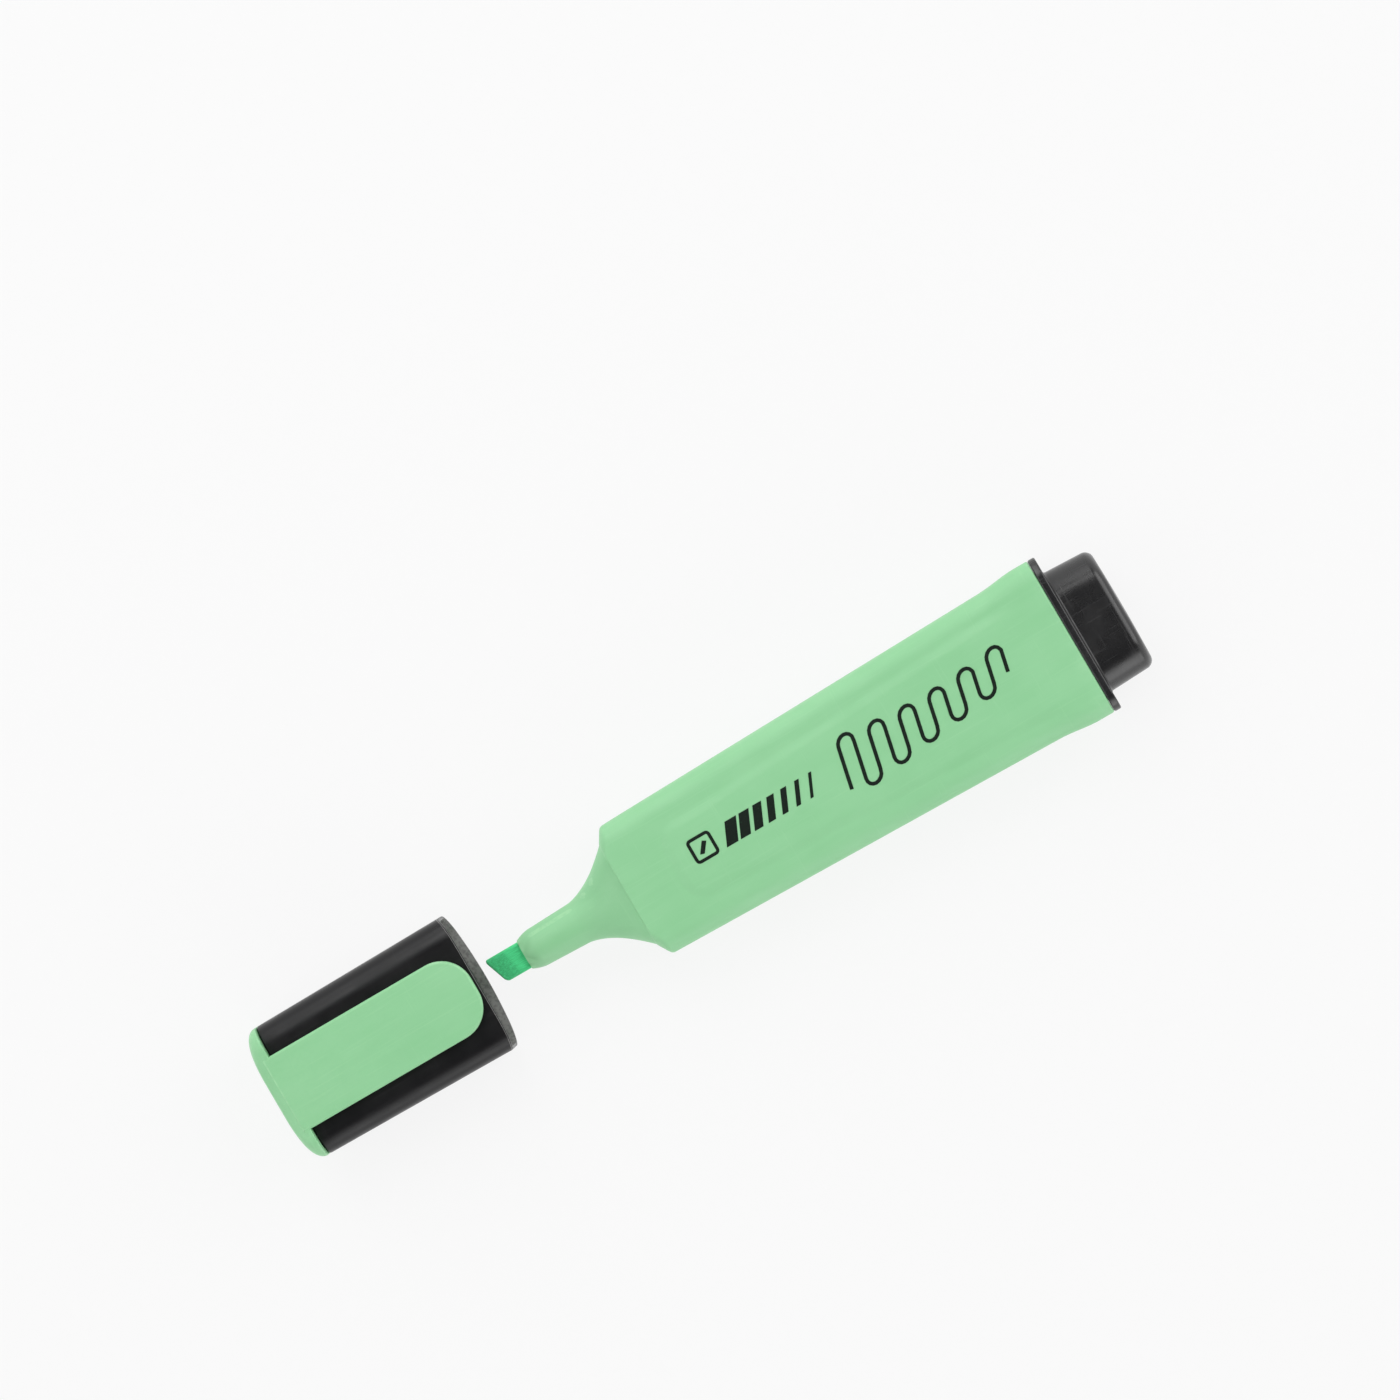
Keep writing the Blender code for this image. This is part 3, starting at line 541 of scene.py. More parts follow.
def make_end_plug(look):
    """Skirt in the barrel, flange flush with it, hollow post, and two plates on the wadding."""
    corner = BARREL_CORNER - BARREL_WALL
    skirt = SOCKET_HALF - Vector((SLIP, SLIP))
    skirt_x = BARREL_END_X - SKIRT_LENGTH
    inside = skirt - Vector((PLUG_WALL, PLUG_WALL))
    hollow = POST_HALF - Vector((POST_DRAFT + PLUG_WALL, POST_DRAFT + PLUG_WALL))
    chamfered = skirt - Vector((PLUG_CHAMFER, PLUG_CHAMFER))
    inner_x = POST_END_X - PLUG_WALL
    rings = [section(x, *hollow, POST_CORNER - PLUG_WALL / 2) for x in (inner_x, FLANGE_X)]
    rings += [section(x, *inside, corner / 2) for x in (FLANGE_X - SLIP, skirt_x)]
    rings.append(section(skirt_x, *chamfered, corner))
    rings += [section(x, *skirt, corner) for x in (skirt_x + 2 * PLUG_CHAMFER, FLANGE_X)]
    for edge, inward, turn in ((FLANGE_X, 1, arc()), (FLANGE_END_X, -1, reversed(arc()))):
        for sine, cosine in turn:
            inset = FLANGE_RADIUS * (1 - sine)
            x = edge + inward * FLANGE_RADIUS * (1 - cosine)
            half_y, half_z = END_HALF_Y - inset, END_HALF_Z - inset
            rings.append(section(x, half_y, half_z, BARREL_CORNER - inset))
    for sine, cosine in arc():
        x = FLANGE_END_X + POST_ROOT * (1 - cosine)
        out = POST_ROOT * (1 - sine)
        rings.append(section(x, POST_HALF.x + out, POST_HALF.y + out, POST_CORNER))
    for sine, cosine in arc(10):
        x = POST_END_X - POST_CROWN - POST_ROUNDING * (1 - sine)
        inset = POST_DRAFT + POST_ROUNDING * (1 - cosine)
        rings.append(section(x, POST_HALF.x - inset, POST_HALF.y - inset, POST_CORNER))
    face = POST_HALF - Vector((inset, inset))
    for share in CROWN_SHARES:
        x = POST_END_X - POST_CROWN * share**2
        rings.append(section(x, *(face * share), POST_CORNER * share))
    plug = loft("end_plug_moulding", rings)
    high = skirt.y - PLUG_WALL + OVERLAP
    plates = []
    for side in (-1, 1):
        across = side * RIB_Y - PLUG_WALL / 2, side * RIB_Y + PLUG_WALL / 2
        plates.append([box_ring(x, across, (-high, high)) for x in (PLUG_LOW.x, inner_x + OVERLAP)])
    combine(plug, plates, "UNION")
    finish_piece(plug, "pen", "end_plug", look)


# Cap -----------------------------------------------------------------------------------------


def cap_half_width(x):
    return mix(*CAP_HALF_WIDTHS, (x - CAP_END_X) / (CAP_MOUTH_X - CAP_END_X))


def lipped(ring):
    """A ring at the mouth, run back in X at its corners, more gradually on the lower lip."""
    placed = []
    for x, y, z in ring:
        low = smoothstep((AXIS_Z - z) / CAP_HALF_Z / LIP_BLEND)
        share = abs(y) / CAP_HALF_WIDTHS[1]
        upper, lower = [share**power for power in LIP_POWERS]
        placed.append((x - LIP_CURVE * mix(upper, lower, low), y, z))
    return placed


def make_sleeve(look):
    """Open mouth, web near the closed end, and a spigot that carries the end cover."""
    inner_corner, inner_z = CAP_CORNER - CAP_WALL, CAP_HALF_Z - CAP_WALL
    step_x = COVER_EDGE_X + SEAT_GAP
    straight_x = CAP_MOUTH_X - MOUTH_LEAD.x - LIP_CURVE
    mouth = cap_half_width(CAP_MOUTH_X)
    inset = COVER_WALL + SEAT_GAP
    spigot = Vector((cap_half_width(step_x) - inset, CAP_HALF_Z - inset, CAP_CORNER - inset))
    tip = spigot - Vector((SPIGOT_TAPER,) * 3)
    pocket = tip - Vector((CAP_WALL,) * 3)
    rings = []
    for x in stations(WEB_X, straight_x, 6):
        rings.append(section(x, cap_half_width(x) - CAP_WALL, inner_z, inner_corner))
    for t in stations(0, 1, 4):
        x = mix(CAP_MOUTH_X - MOUTH_LEAD.x, CAP_MOUTH_X - MOUTH_CREST, t)
        out = MOUTH_LEAD.y * t
        ring = section(x, mouth - CAP_WALL + out, inner_z + out, inner_corner + out)
        rings.append(lipped(ring))
    for sine, cosine in reversed(arc()):
        x = CAP_MOUTH_X - MOUTH_RADIUS * (1 - sine)
        back = MOUTH_RADIUS * (1 - cosine)
        ring = section(x, cap_half_width(x) - back, CAP_HALF_Z - back, CAP_CORNER)
        rings.append(lipped(ring))
    for x in stations(straight_x, step_x + COVER_EDGE_RADIUS, 10):
        rings.append(section(x, cap_half_width(x), CAP_HALF_Z, CAP_CORNER))
    for sine, cosine in arc()[1:]:
        x = step_x + COVER_EDGE_RADIUS * (1 - sine)
        back = COVER_EDGE_RADIUS * (1 - cosine)
        rings.append(section(x, cap_half_width(x) - back, CAP_HALF_Z - back, CAP_CORNER))
    rings.append(section(step_x, *spigot))
    rings += [section(step_x - SPIGOT_LENGTH, *size) for size in (tip, pocket)]
    rings.append(section(WEB_X - WEB, *pocket))
    sleeve = loft("sleeve_moulding", rings)
    liner_x = LINER_HIGH.x - LINER_DEPTH - LINER_WALL
    boss = [circle(x, LINER_BORE - SEAT_GAP) for x in (WEB_X - WEB / 2, liner_x - SEAT_GAP)]
    guides = [boss]
    near = LINER_RADIUS + SEAT_GAP
    thin = -GUIDE_HALF, GUIDE_HALF
    spans = liner_x, liner_x + GUIDE_LENGTH
    slots = []
    for side in (-1, 1):
        far = [side * (cap_half_width(x) - CAP_WALL + OVERLAP) for x in spans]
        guides.append([box_ring(x, sorted((side * near, y)), thin) for x, y in zip(spans, far)])
        tall = sorted((side * near, side * (inner_z + OVERLAP)))
        guides.append([box_ring(x, thin, tall) for x in spans])
        reach = LEG_THICKNESS / 2 + SEAT_GAP
        across = side * LEG_Y - reach, side * LEG_Y + reach
        tall = -LEG_HALF_WIDTH - SEAT_GAP, LEG_HALF_WIDTH + SEAT_GAP
        slots.append([box_ring(x, across, tall) for x in (WEB_X - 2 * WEB, WEB_X + WEB)])
    combine(sleeve, guides, "UNION")
    combine(sleeve, slots, "DIFFERENCE")
    finish_piece(sleeve, "cap", "cap_sleeve", look)


def clip_outline(z, inset):
    """The tongue seen from above: square root inside the end cover, broad rounded free end."""
    half, corner, end = CLIP_HALF_WIDTH - inset, CLIP_CORNER - inset, CLIP_END_X - inset
    root = COVER_EDGE_X - CLIP_ROOT + inset
    points = [(root, -half, z)]
    for sine, cosine in arc(CORNER_STEPS):
        points.append((end - corner + corner * sine, corner - half - corner * cosine, z))
    for sine, cosine in reversed(arc(CORNER_STEPS)):
        points.append((end - corner + corner * sine, half - corner + corner * cosine, z))
    points.append((root, half, z))
    return points


def tongue():
    """Outlines from the tongue's underside to its face, with rounded edges."""
    levels = []
    small = CLIP_RADIUS / 2
    for sine, cosine in arc():
        levels.append((CLIP_BOTTOM_Z + small * (1 - cosine), small * (1 - sine)))
    for sine, cosine in arc():
        levels.append((CLIP_TOP_Z - CLIP_RADIUS * (1 - sine), CLIP_RADIUS * (1 - cosine)))
    return [clip_outline(z, inset) for z, inset in levels]


def cover_cup():
    """Rings of the end cover: its inside floor, its rim, then its domed end, level with the clip."""
    outer = cap_half_width(COVER_EDGE_X)
    rise = CLIP_TOP_Z - CLIP_STEP - SLEEVE_HIGH.z
    inner = Vector((outer - COVER_WALL, CAP_HALF_Z - COVER_WALL, CAP_CORNER - COVER_WALL))
    taper = 0.15
    rings = [
        section(COVER_FLOOR_X, inner.x - COVER_WALL, inner.y - COVER_WALL, inner.z),
        section(COVER_FLOOR_X + 2 * taper, inner.x - taper, inner.y - taper, inner.z),
        section(COVER_EDGE_X, *inner),
    ]
    for sine, cosine in reversed(arc()):
        x = COVER_EDGE_X - COVER_EDGE_RADIUS * (1 - sine)
        back = COVER_EDGE_RADIUS * (1 - cosine)
        rings.append(section(x, outer - back, CAP_HALF_Z - back, CAP_CORNER, rise=rise))
    flat = COVER_ROUNDING * COVER_FLATNESS
    depth = COVER_EDGE_X - CAP_END_X - COVER_DOME
    for sine, cosine in arc(16)[1:]:
        bite = 1 - cosine
        x = COVER_EDGE_X - COVER_EDGE_RADIUS - (depth - COVER_EDGE_RADIUS) * sine
        half_y, half_z = outer - COVER_ROUNDING * bite, CAP_HALF_Z - flat * bite
        rings.append(section(x, half_y, half_z, CAP_CORNER, rise=rise))
    for share in reversed(stations(0.1, 0.9, 8)):
        x = CAP_END_X + COVER_DOME * smoothstep(share)
        rings.append(section(x, half_y * share, half_z * share, CAP_CORNER * share, rise=rise * share))
    return rings


def make_clip_cover(look):
    """End cover and clip in one moulding, with two snap legs that go through the sleeve's web."""
    cover = loft("clip_cover_moulding", cover_cup())
    hook_x = WEB_X + SEAT_GAP
    hook_end = hook_x + HOOK_THICKNESS
    tall = -LEG_HALF_WIDTH, LEG_HALF_WIDTH
    half = LEG_THICKNESS / 2
    legs = []
    hooks = []
    for side in (-1, 1):
        across = side * LEG_Y - half, side * LEG_Y + half
        ends = COVER_FLOOR_X - OVERLAP, hook_end + HOOK_TAIL
        legs.append([box_ring(x, across, tall) for x in ends])
        hook = sorted((side * LEG_Y, side * (LEG_Y + half + HOOK_REACH)))
        hooks.append([box_ring(x, hook, tall) for x in (hook_x, hook_end)])
    combine(cover, legs, "UNION")
    combine(cover, hooks, "UNION")
    combine(cover, [tongue()], "UNION")
    across = -CLIP_HALF_WIDTH / 2, CLIP_HALF_WIDTH / 2
    buried = CLIP_BOTTOM_Z - AXIS_Z + OVERLAP
    bump = []
    for t in stations(0, 1, ARC_STEPS * 2):
        low = mix(buried - OVERLAP / 2, CAP_HALF_Z + SEAT_GAP, math.sin(math.pi * t) ** 0.5)
        x = CLIP_END_X - BUMP_SETBACK + BUMP_LENGTH * t
        bump.append(box_ring(x, across, (low, buried)))
    combine(cover, [bump], "UNION")
    finish_piece(cover, "cap", "clip_cover", look)


def make_liner(look):
    """The sealing liner: a bore that closes over the nozzle, and a socket on the sleeve's boss."""
    floor_x = LINER_HIGH.x - LINER_DEPTH
    rings = [circle(floor_x - LINER_WALL, LINER_BORE), circle(LINER_LOW.x, LINER_BORE)]
    rings += [circle(x, LINER_RADIUS) for x in (LINER_LOW.x, LINER_HIGH.x - LINER_CHAMFER)]
    rings.append(circle(LINER_HIGH.x, LINER_RADIUS - LINER_CHAMFER))
    rings.append(circle(LINER_HIGH.x, LINER_BORE + LINER_WALL / 2))
    rings += [circle(x, LINER_BORE) for x in (LINER_HIGH.x - LINER_LEAD, floor_x)]
    finish_piece(loft("liner_moulding", rings), "cap", "inner_cap", look)


# Print ---------------------------------------------------------------------------------------

PRINT_SINK = 0.02  # below the pad's face
PRINT_PROUD = 0.03  # above it
ICON_CENTRE = (1.3, 0.55)
ICON_HALF = 1.75
ICON_RADIUS = 0.45
ICON_LINE = 0.5
ICON_BAR = ((-0.9, -0.75), (-0.2, -0.95), (0.95, 0.6), (0.35, 0.95))  # corners from the centre
BARS_START, BARS_END = 4.4, 21.2
BARS_COUNT = 7
BARS_Y = (-1.3, 2.2)
BARS_SLANT = 0.45
BARS_FILL = (0.82, 0.22)  # share of the pitch that the first and the last bar fill
WAVE_START = 25.5
WAVE_STROKES = 12
WAVE_PITCH = 2.55
WAVE_FEET = (-3.2, 0.2)  # where the first and the last stroke end below
WAVE_TOPS = (3.2, 3.6)  # and above
WAVE_DIP = 1.2  # how much lower the tops are halfway
WAVE_SLANT = 0.22
WAVE_LINE = 0.58


def add_ribbon(mesh, line, width, closed=False):
    """A thin raised line of print on the upper pad, along points (x, y)."""
    count = len(line)
    edges = []
    for i, (x, y) in enumerate(line):
        before = line[i - 1] if i or closed else line[0]
        after = line[(i + 1) % count] if i < count - 1 or closed else line[-1]
        along = Vector((after[0] - before[0], after[1] - before[1])).normalized()
        side = Vector((-along.y, along.x)) * width / 2
        edges.append([(x + side.x, y + side.y), (x - side.x, y - side.y)])
    high, low = BARREL_HIGH.z + PRINT_PROUD, BARREL_HIGH.z - PRINT_SINK
    rings = []
    for left, right in edges:
        rings.append([(*left, high), (*right, high), (*right, low), (*left, low)])
    add_loft(mesh, rings, ring_shaped=closed)


def add_plate(mesh, corners):
    """A flat raised patch of print on the upper pad."""
    levels = BARREL_HIGH.z - PRINT_SINK, BARREL_HIGH.z + PRINT_PROUD
    add_loft(mesh, [[(x, y, z) for x, y in corners] for z in levels])


def arc_points(centre, radius, start, turn, steps=8):
    """Points (x, y) along part of a circle, from an angle through a turn, both in degrees."""
    angles = [math.radians(start + turn * step / steps) for step in range(steps + 1)]
    return [(centre[0] + radius * math.cos(a), centre[1] + radius * math.sin(a)) for a in angles]


def wave_line():
    """Slanted strokes joined by half turns, each a little shorter than the last."""
    points = []
    for stroke in range(WAVE_STROKES):
        x = WAVE_START + stroke * WAVE_PITCH
        share = stroke / (WAVE_STROKES - 1)
        low = mix(*WAVE_FEET, share)
        high = mix(*WAVE_TOPS, share) - WAVE_DIP * math.sin(math.pi * share)
        rising = stroke % 2 == 0
        points += [(x, low), (x, high)] if rising else [(x, high), (x, low)]
        if stroke < WAVE_STROKES - 1:
            centre = x + WAVE_PITCH / 2, high if rising else low
            turn = arc_points(centre, WAVE_PITCH / 2, 180, -180 if rising else 180)
            points += turn[1:-1]
    return [(x + WAVE_SLANT * y, y) for x, y in points]


def make_print(look):
    """A generic printed decoration: a small icon, a row of thinning bars and a marker scribble."""
    mesh = bmesh.new()
    cx, cy = ICON_CENTRE
    reach = ICON_HALF - ICON_RADIUS
    square = []
    for turn, (sx, sy) in enumerate(((1, 1), (-1, 1), (-1, -1), (1, -1))):
        centre = cx + sx * reach, cy + sy * reach
        square += arc_points(centre, ICON_RADIUS, 90 * turn, 90, 4)
    add_ribbon(mesh, square, ICON_LINE, closed=True)
    add_plate(mesh, [(cx + x, cy + y) for x, y in ICON_BAR])
    pitch = (BARS_END - BARS_START) / BARS_COUNT
    low, high = BARS_Y
    lean = BARS_SLANT * (high - low)
    for bar in range(BARS_COUNT):
        x = BARS_START + bar * pitch
        wide = mix(*BARS_FILL, bar / (BARS_COUNT - 1)) * pitch
        add_plate(mesh, [(x, low), (x + wide, low), (x + wide + lean, high), (x + lean, high)])
    add_ribbon(mesh, wave_line(), WAVE_LINE)
    finish_piece(make_object("barrel_print", mesh), "pen", None, look)


# Materials -----------------------------------------------------------------------------------

UNIT = (0.0, 1.0)
MIDDLE = (0.35, 0.65)  # the part of a noise's range that is stretched to the full contrast
BROAD = (0.3, 0.7)
GRAIN = 0.012  # height of moulded grain
SCRATCH_DEPTH = 0.006
RUB_GLOSS = 0.08  # how much rougher a scratch is, and how much smoother a rubbed edge


class Look:
    """A material that is wired node by node. Coordinates are object coordinates, in metres."""

    def __init__(self, name, **settings):
        self.material = bpy.data.materials.new(name)
        self.material.use_nodes = True
        self.tree = self.material.node_tree
        self.shader = self.tree.nodes["Principled BSDF"]
        for label, value in settings.items():
            self.shader.inputs[label.replace("_", " ")].default_value = value
        self.coordinates = self.node("ShaderNodeTexCoord")
        self.place = self.coordinates.outputs["Object"]

    def node(self, kind, **links):
        """A new node. links gives inputs by name, each a socket or a value."""
        made = self.tree.nodes.new(kind)
        for label, value in links.items():
            self.set(made.inputs[label.replace("_", " ")], value)
        return made

    def set(self, socket, value):
        if isinstance(value, bpy.types.NodeSocket):
            self.tree.links.new(value, socket)
        else:
            socket.default_value = value

    def noise(self, size, detail=3.0, stretch=(1, 1, 1)):
        """Noise with features of about size millimetres, stretched along each axis."""
        scale = [1 / (size * MM * s) for s in stretch]
        mapping = self.node("ShaderNodeMapping", Vector=self.place, Scale=scale)
        made = self.node("ShaderNodeTexNoise", Vector=mapping.outputs["Vector"], Scale=1.0, Detail=detail)
        return made.outputs["Fac"]

    def remap(self, value, source, target=UNIT):
        """Eases a value from one range to another, and holds it at both ends."""
        made = self.node("ShaderNodeMapRange", Value=value)
        made.interpolation_type = "SMOOTHSTEP"
        for label, number in zip(("From Min", "From Max", "To Min", "To Max"), (*source, *target)):
            made.inputs[label].default_value = number
        return made.outputs["Result"]

    def blend(self, factor, a, b, kind="MIX"):
        made = self.tree.nodes.new("ShaderNodeMix")
        made.data_type = "RGBA"
        made.blend_type = kind
        for socket, value in zip((made.inputs[0], made.inputs[6], made.inputs[7]), (factor, a, b)):
            self.set(socket, (*value, 1) if isinstance(value, tuple) else value)
        return made.outputs[2]

    def math(self, operation, a, b):
        made = self.tree.nodes.new("ShaderNodeMath")
        made.operation = operation
        self.set(made.inputs[0], a)
        self.set(made.inputs[1], b)
        return made.outputs[0]

    def worn_edges(self, start=0.505, end=0.56):
        """1 on outward edges and 0 elsewhere. start and end are how pointed an edge has to be."""
        point = self.node("ShaderNodeNewGeometry").outputs["Pointiness"]
        return self.remap(point, (start, end))

    def bump(self, height, distance, strength=1.0, normal=None):
        """A normal from a height. distance is the full height in millimetres."""
        made = self.node("ShaderNodeBump", Height=height, Distance=distance * MM, Strength=strength)
        if normal:
            self.set(made.inputs["Normal"], normal)
        return made.outputs["Normal"]

    def finish(self, colour, roughness, normal):
        for label, socket in (("Base Color", colour), ("Roughness", roughness), ("Normal", normal)):
            self.set(self.shader.inputs[label], socket)
        return self.material


def plastic(name, colour, shade, worn, roughness, scratch, scuffed=None, **settings):
    """Moulded plastic: faint clouding, fine moulded grain, long handling scratches and rubbed edges.
    colour and shade are its two tones, worn is where it is rubbed, and scratch is how much of that
    shows. A highlight colour, if given, is painted on gentle slopes that face +X, as inside the cap's
    mouth."""
    look = Look(name, **settings)
    clouds = look.remap(look.noise(9.0, 4.0), MIDDLE)
    flow = look.remap(look.noise(2.2, 3.0, (6, 1, 1)), MIDDLE)
    tone = look.blend(look.math("MULTIPLY", look.math("ADD", clouds, flow), 0.5), colour, shade)
    edges = look.worn_edges()
    patchy = look.math("MULTIPLY", edges, look.remap(look.noise(0.7), (0.3, 0.6), (0.25, 1.0)))
    tone = look.blend(look.math("MULTIPLY", patchy, scratch), tone, worn)
    fine = look.noise(0.16, 2.0)
    lines = look.remap(look.noise(0.35, 2.0, (40, 1, 1)), (0.60, 0.70))
    cross = look.remap(look.noise(0.3, 2.0, (1, 30, 30)), (0.64, 0.72))
    rubbed = look.math("MAXIMUM", lines, cross)
    rough = look.remap(look.noise(3.5, 5.0), BROAD, roughness)
    rough = look.math("ADD", rough, look.math("MULTIPLY", rubbed, RUB_GLOSS))
    rough = look.math("SUBTRACT", rough, look.math("MULTIPLY", patchy, RUB_GLOSS))
    tone = look.blend(look.math("MULTIPLY", rubbed, scratch * 0.25), tone, worn)
    # painted highlight: a pale grey laid on gentle slopes that face +X, broken up by streaky noise
    if scuffed:
        facing = look.node("ShaderNodeSeparateXYZ", Vector=look.coordinates.outputs["Normal"])
        sloped = look.remap(facing.outputs["X"], (0.08, 0.26))
        not_steep = look.remap(facing.outputs["X"], (0.36, 0.5), (1.0, 0.0))
        bevel = look.math("MULTIPLY", sloped, not_steep)
        streaks = look.remap(look.noise(0.5, 4.0), (0.3, 0.6), (0.6, 1.0))
        bevel = look.math("MULTIPLY", bevel, streaks)
        tone = look.blend(bevel, tone, scuffed)
    normal = look.bump(fine, GRAIN, 0.5)
    normal = look.bump(rubbed, -SCRATCH_DEPTH, 0.5, normal)
    return look.finish(tone, rough, normal)


def nib_look():
    """Pressed fibre soaked with ink: strands along X, uneven patches, and paler rubbed edges."""
    look = Look("nib_felt", Specular_IOR_Level=0.25, Sheen_Weight=0.25, Sheen_Roughness=0.5)
    strands = look.noise(0.12, 4.0, (14, 1, 1))
    fuzz = look.noise(0.09, 3.0)
    tone = look.blend(look.remap(strands, MIDDLE), (0.056, 0.56, 0.2), (0.088, 0.76, 0.3))
    soaked = look.remap(look.noise(1.6, 3.0), MIDDLE, (0.0, 0.35))
    tone = look.blend(soaked, tone, (0.066, 0.62, 0.23))
    tone = look.blend(look.math("MULTIPLY", look.worn_edges(0.51, 0.6), 0.3), tone, (0.16, 0.62, 0.34))
    height = look.math("ADD", strands, look.math("MULTIPLY", fuzz, 0.5))
    return look.finish(tone, look.remap(fuzz, BROAD, (0.72, 0.95)), look.bump(height, 0.05, 0.8))


def print_look():
    """Screen-printed ink: slightly uneven coverage and a satin skin."""
    look = Look("print_ink", Specular_IOR_Level=0.25)
    thin = look.remap(look.noise(0.25, 4.0), (0.62, 0.74))
    tone = look.blend(look.math("MULTIPLY", thin, 0.35), (0.003, 0.009, 0.005), (0.03, 0.10, 0.045))
    fine = look.noise(0.1, 2.0)
    return look.finish(tone, look.remap(fine, BROAD, (0.38, 0.55)), look.bump(fine, 0.006, 0.5))


def fibre_look(name, dark, light, size, stretch):
    """Loose fibre, in strands along X."""
    look = Look(name, Sheen_Weight=0.3, Sheen_Roughness=0.5)
    strands = look.noise(size, 5.0, stretch)
    clumps = look.remap(look.noise(size * 9, 3.0), MIDDLE)
    tone = look.blend(look.remap(strands, BROAD), dark, light)
    tone = look.blend(look.math("MULTIPLY", clumps, 0.3), tone, dark)
    return look.finish(tone, look.remap(clumps, UNIT, (0.82, 0.98)), look.bump(strands, 0.12, 0.9))


def film_look():
    """Clear wrap over the ink: glossy, wrinkled, tinted by what it covers."""
    look = Look("wrap_film", Specular_IOR_Level=0.55, Coat_Weight=0.4, Coat_Roughness=0.1)
    wrinkles = look.noise(1.3, 4.0, (3, 1, 1))
    tone = look.blend(look.remap(wrinkles, MIDDLE), (0.5, 0.78, 0.56), (0.72, 0.86, 0.74))
    rough = look.remap(look.noise(0.8), BROAD, (0.15, 0.3))
    return look.finish(tone, rough, look.bump(wrinkles, 0.08, 0.6))


def make_materials():
    """One material for each piece, by a short name."""
    green = {
        "colour": (0.285, 0.615, 0.325),
        "shade": (0.262, 0.59, 0.302),
        "worn": (0.38, 0.70, 0.41),
        "Subsurface_Weight": 0.08,
        "Subsurface_Radius": (0.0006, 0.001, 0.0007),
        "Specular_IOR_Level": 0.4,
    }
    black = {
        "colour": (0.0045, 0.0045, 0.0052),
        "shade": (0.007, 0.0068, 0.0075),
        "worn": (0.03, 0.03, 0.032),
    }
    natural = {
        "colour": (0.72, 0.74, 0.69),
        "shade": (0.66, 0.7, 0.64),
        "worn": (0.8, 0.82, 0.78),
        "Subsurface_Weight": 0.15,
        "Subsurface_Radius": (0.001, 0.001, 0.001),
    }
    # the sleeve's mouth bevel gets a painted highlight on its slopes that face +X
    bevelled = {"scuffed": (0.2, 0.195, 0.19), "Specular_IOR_Level": 0.32}
    glossy = {"Specular_IOR_Level": 0.75}
    return {
        "barrel": plastic("pastel_barrel_plastic", roughness=(0.42, 0.52), scratch=0.5, **green),
        "clip": plastic("pastel_clip_plastic", roughness=(0.38, 0.48), scratch=0.7, **green),
        "sleeve": plastic("black_sleeve_plastic", roughness=(0.28, 0.38), scratch=0.4, **black, **bevelled),
        "plug": plastic("black_plug_plastic", roughness=(0.24, 0.32), scratch=0.6, **black, **glossy),
        "liner": plastic("natural_liner_plastic", roughness=(0.36, 0.46), scratch=0.5, **natural),
        "nib": nib_look(),
        "print": print_look(),
        "wadding": fibre_look("ink_wadding", (0.09, 0.42, 0.18), (0.22, 0.68, 0.36), 0.25, (12, 1, 1)),
        "film": film_look(),
    }


# Stage ---------------------------------------------------------------------------------------

FRAME_WIDTH = 0.2096  # how wide the picture is at the object
FRAME_CENTRE = Vector((0.0116, 0.0197, 0.008))
CAMERA_FOOT = Vector((0.064, 0.014, 0.0))  # the point under the camera
CAMERA_HEIGHT = 1.06
CAMERA_ROLL = math.radians(30.35)
CAMERA_REACH = 20  # the furthest thing it sees
SENSOR = 36.0
FLOOR_HALF = 2.5
FLOOR_LEVELS = (-5.0, -0.03)  # in millimetres, just clear of the pen
SKY = {"From Min": 0.25, "From Max": 0.85, "To Min": 0.947, "To Max": 0.12}  # pale sides, dark top
LIGHTS = (  # name, direction from the object, distance, side, power
    ("key", (-0.1, 1.0, 0.7), 0.7, 0.5, 1.1),
    ("fill", (0.1, -1.0, 0.3), 0.7, 0.6, 1.4),
    ("top", (0.0, 0.58, 1.0), 0.7, 0.36, 0.95),
    ("rear", (1.0, 0.15, 0.9), 0.8, 0.6, 2.4),
    ("front", (-1.0, 0.1, 0.9), 0.8, 0.6, 1.4),
)
LIGHT_UP = Vector((0.3, 0.2, 1))


def aim(thing, target, up):
    """Turns a camera or a light, which look along their -Z, to face a point."""
    away = (thing.location - target).normalized()
    right = up.cross(away).normalized()
    top = away.cross(right)
    turned = thing.matrix_world.copy()
    for row in range(3):
        turned[row][0], turned[row][1], turned[row][2] = right[row], top[row], away[row]
        turned[row][3] = thing.location[row]
    thing.matrix_world = turned


def make_camera():
    data = bpy.data.cameras.new("camera")
    camera = bpy.data.objects.new("camera", data)
    bpy.context.scene.collection.objects.link(camera)
    camera.location = CAMERA_FOOT + Vector((0, 0, CAMERA_HEIGHT))
    aim(camera, FRAME_CENTRE, Vector((math.sin(CAMERA_ROLL), math.cos(CAMERA_ROLL), 0)))
    data.sensor_width = SENSOR
    data.lens = SENSOR * (camera.location - FRAME_CENTRE).length / FRAME_WIDTH
    data.clip_end = CAMERA_REACH
    bpy.context.scene.camera = camera


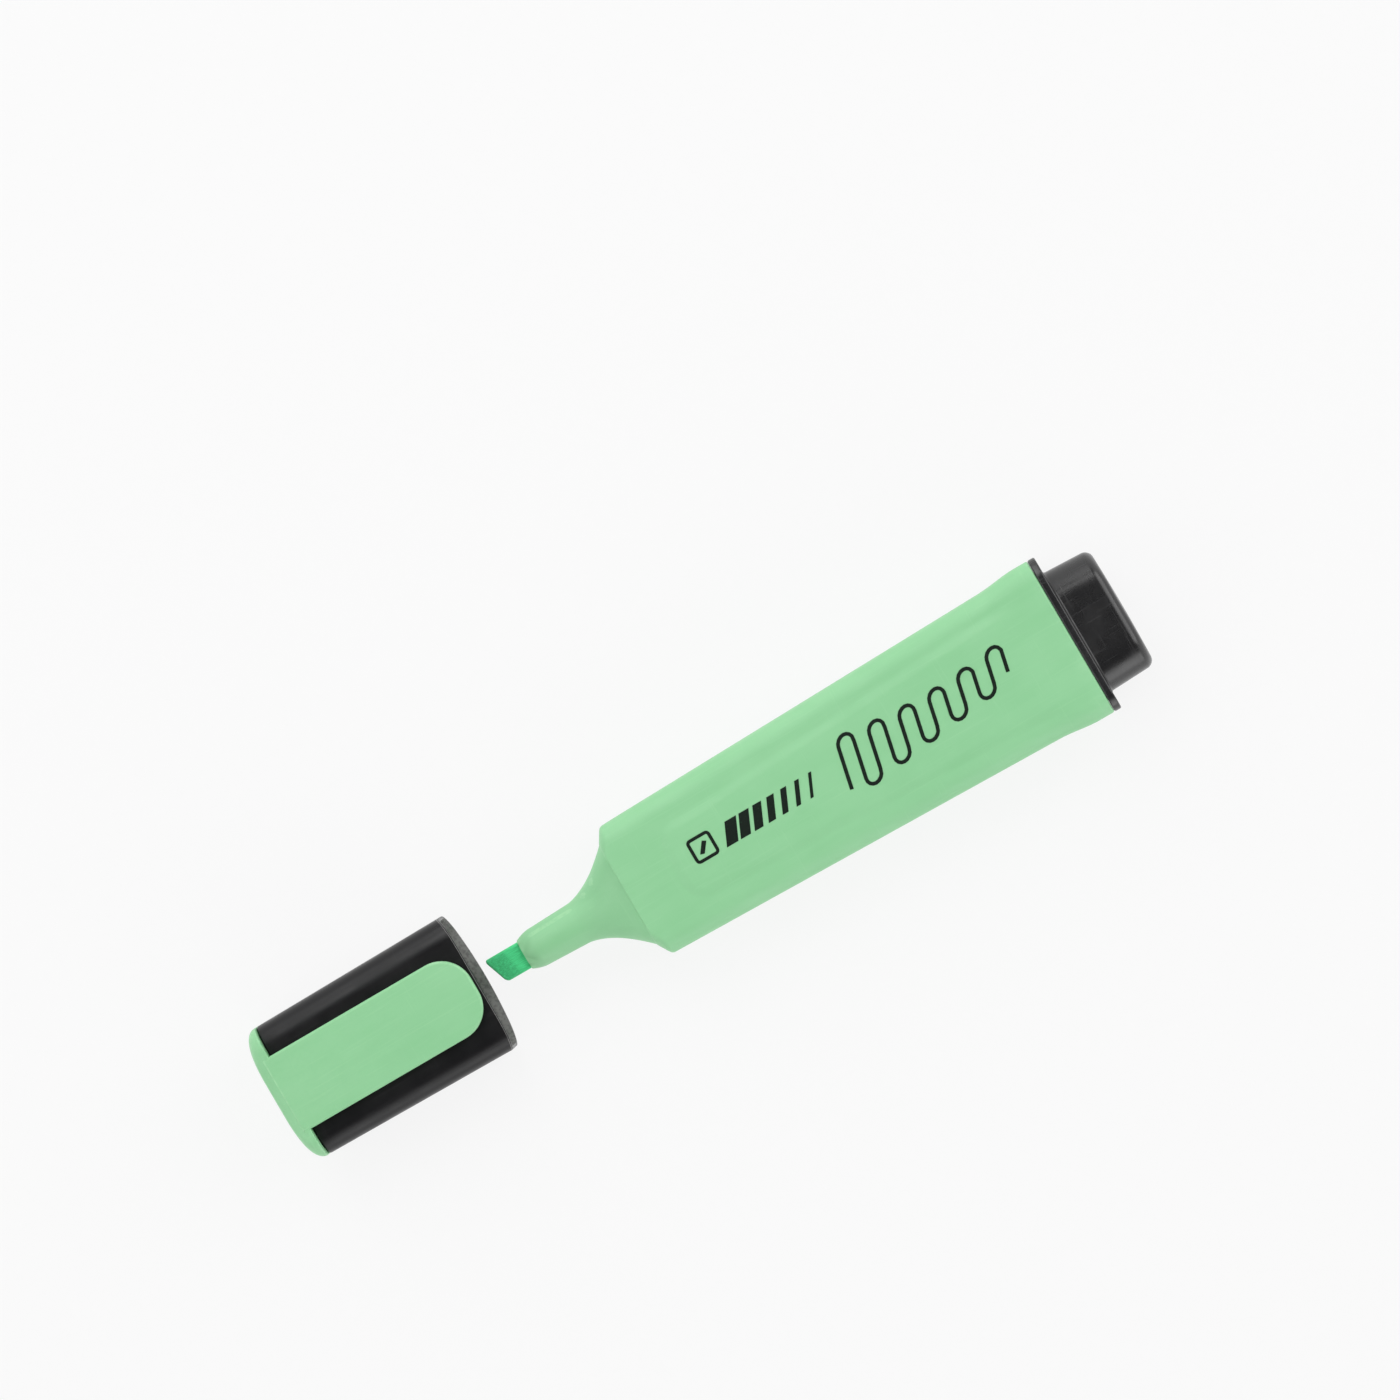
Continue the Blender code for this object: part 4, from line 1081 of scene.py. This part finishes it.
def softbox(name, direction, distance, size, power):
    """A square area light that faces the middle of the object."""
    data = bpy.data.lights.new(name, "AREA")
    data.shape = "SQUARE"
    data.size = size
    data.energy = power
    light = bpy.data.objects.new(name, data)
    bpy.context.scene.collection.objects.link(light)
    light.location = Vector(direction).normalized() * distance
    aim(light, Vector((0, 0, AXIS_Z * MM)), LIGHT_UP)


def make_lights():
    """Five softboxes, and a sky that is pale at the sides and dark overhead."""
    for light in LIGHTS:
        softbox(*light)
    world = bpy.data.worlds.new("studio")
    world.use_nodes = True
    bpy.context.scene.world = world
    tree = world.node_tree
    height = tree.nodes.new("ShaderNodeSeparateXYZ")
    place = tree.nodes.new("ShaderNodeTexCoord")
    ramp = tree.nodes.new("ShaderNodeMapRange")
    ramp.interpolation_type = "SMOOTHSTEP"
    tree.links.new(place.outputs["Generated"], height.inputs[0])
    tree.links.new(height.outputs["Z"], ramp.inputs["Value"])
    for label, number in SKY.items():
        ramp.inputs[label].default_value = number
    background = tree.nodes["Background"]
    tree.links.new(ramp.outputs["Result"], background.inputs["Color"])
    bpy.context.scene.view_settings.view_transform = "Standard"


def make_floor():
    """A large pale sheet that glows a little, so that it shows hardly any shadow."""
    half = FLOOR_HALF / MM
    corners = (-half, -half), (half, -half), (half, half), (-half, half)
    floor = loft("floor", [[(x, y, z) for x, y in corners] for z in FLOOR_LEVELS])
    look = Look("pale_floor", Roughness=0.9, Specular_IOR_Level=0.1, Emission_Strength=1.0)
    look.shader.inputs["Emission Color"].default_value = (0.86, 0.86, 0.86, 1)
    paper = look.noise(2.0, 4.0)
    tone = look.blend(paper, (0.085, 0.085, 0.085), (0.095, 0.095, 0.095))
    look.finish(tone, look.remap(paper, BROAD, (0.85, 0.95)), look.bump(paper, 0.02, 0.2))
    floor.data.materials.append(look.material)


def main():
    make_camera()
    looks = make_materials()
    make_barrel(looks["barrel"])
    make_nib(looks["nib"])
    make_end_plug(looks["plug"])
    make_sleeve(looks["sleeve"])
    make_clip_cover(looks["clip"])
    make_liner(looks["liner"])
    make_print(looks["print"])
    for node, look in (("reservoir_core", "wadding"), ("reservoir_film", "film")):
        frame["nodes"][node].material_slots[0].material = looks[look]  # these keep their CAD mesh
    make_floor()
    make_lights()


main()
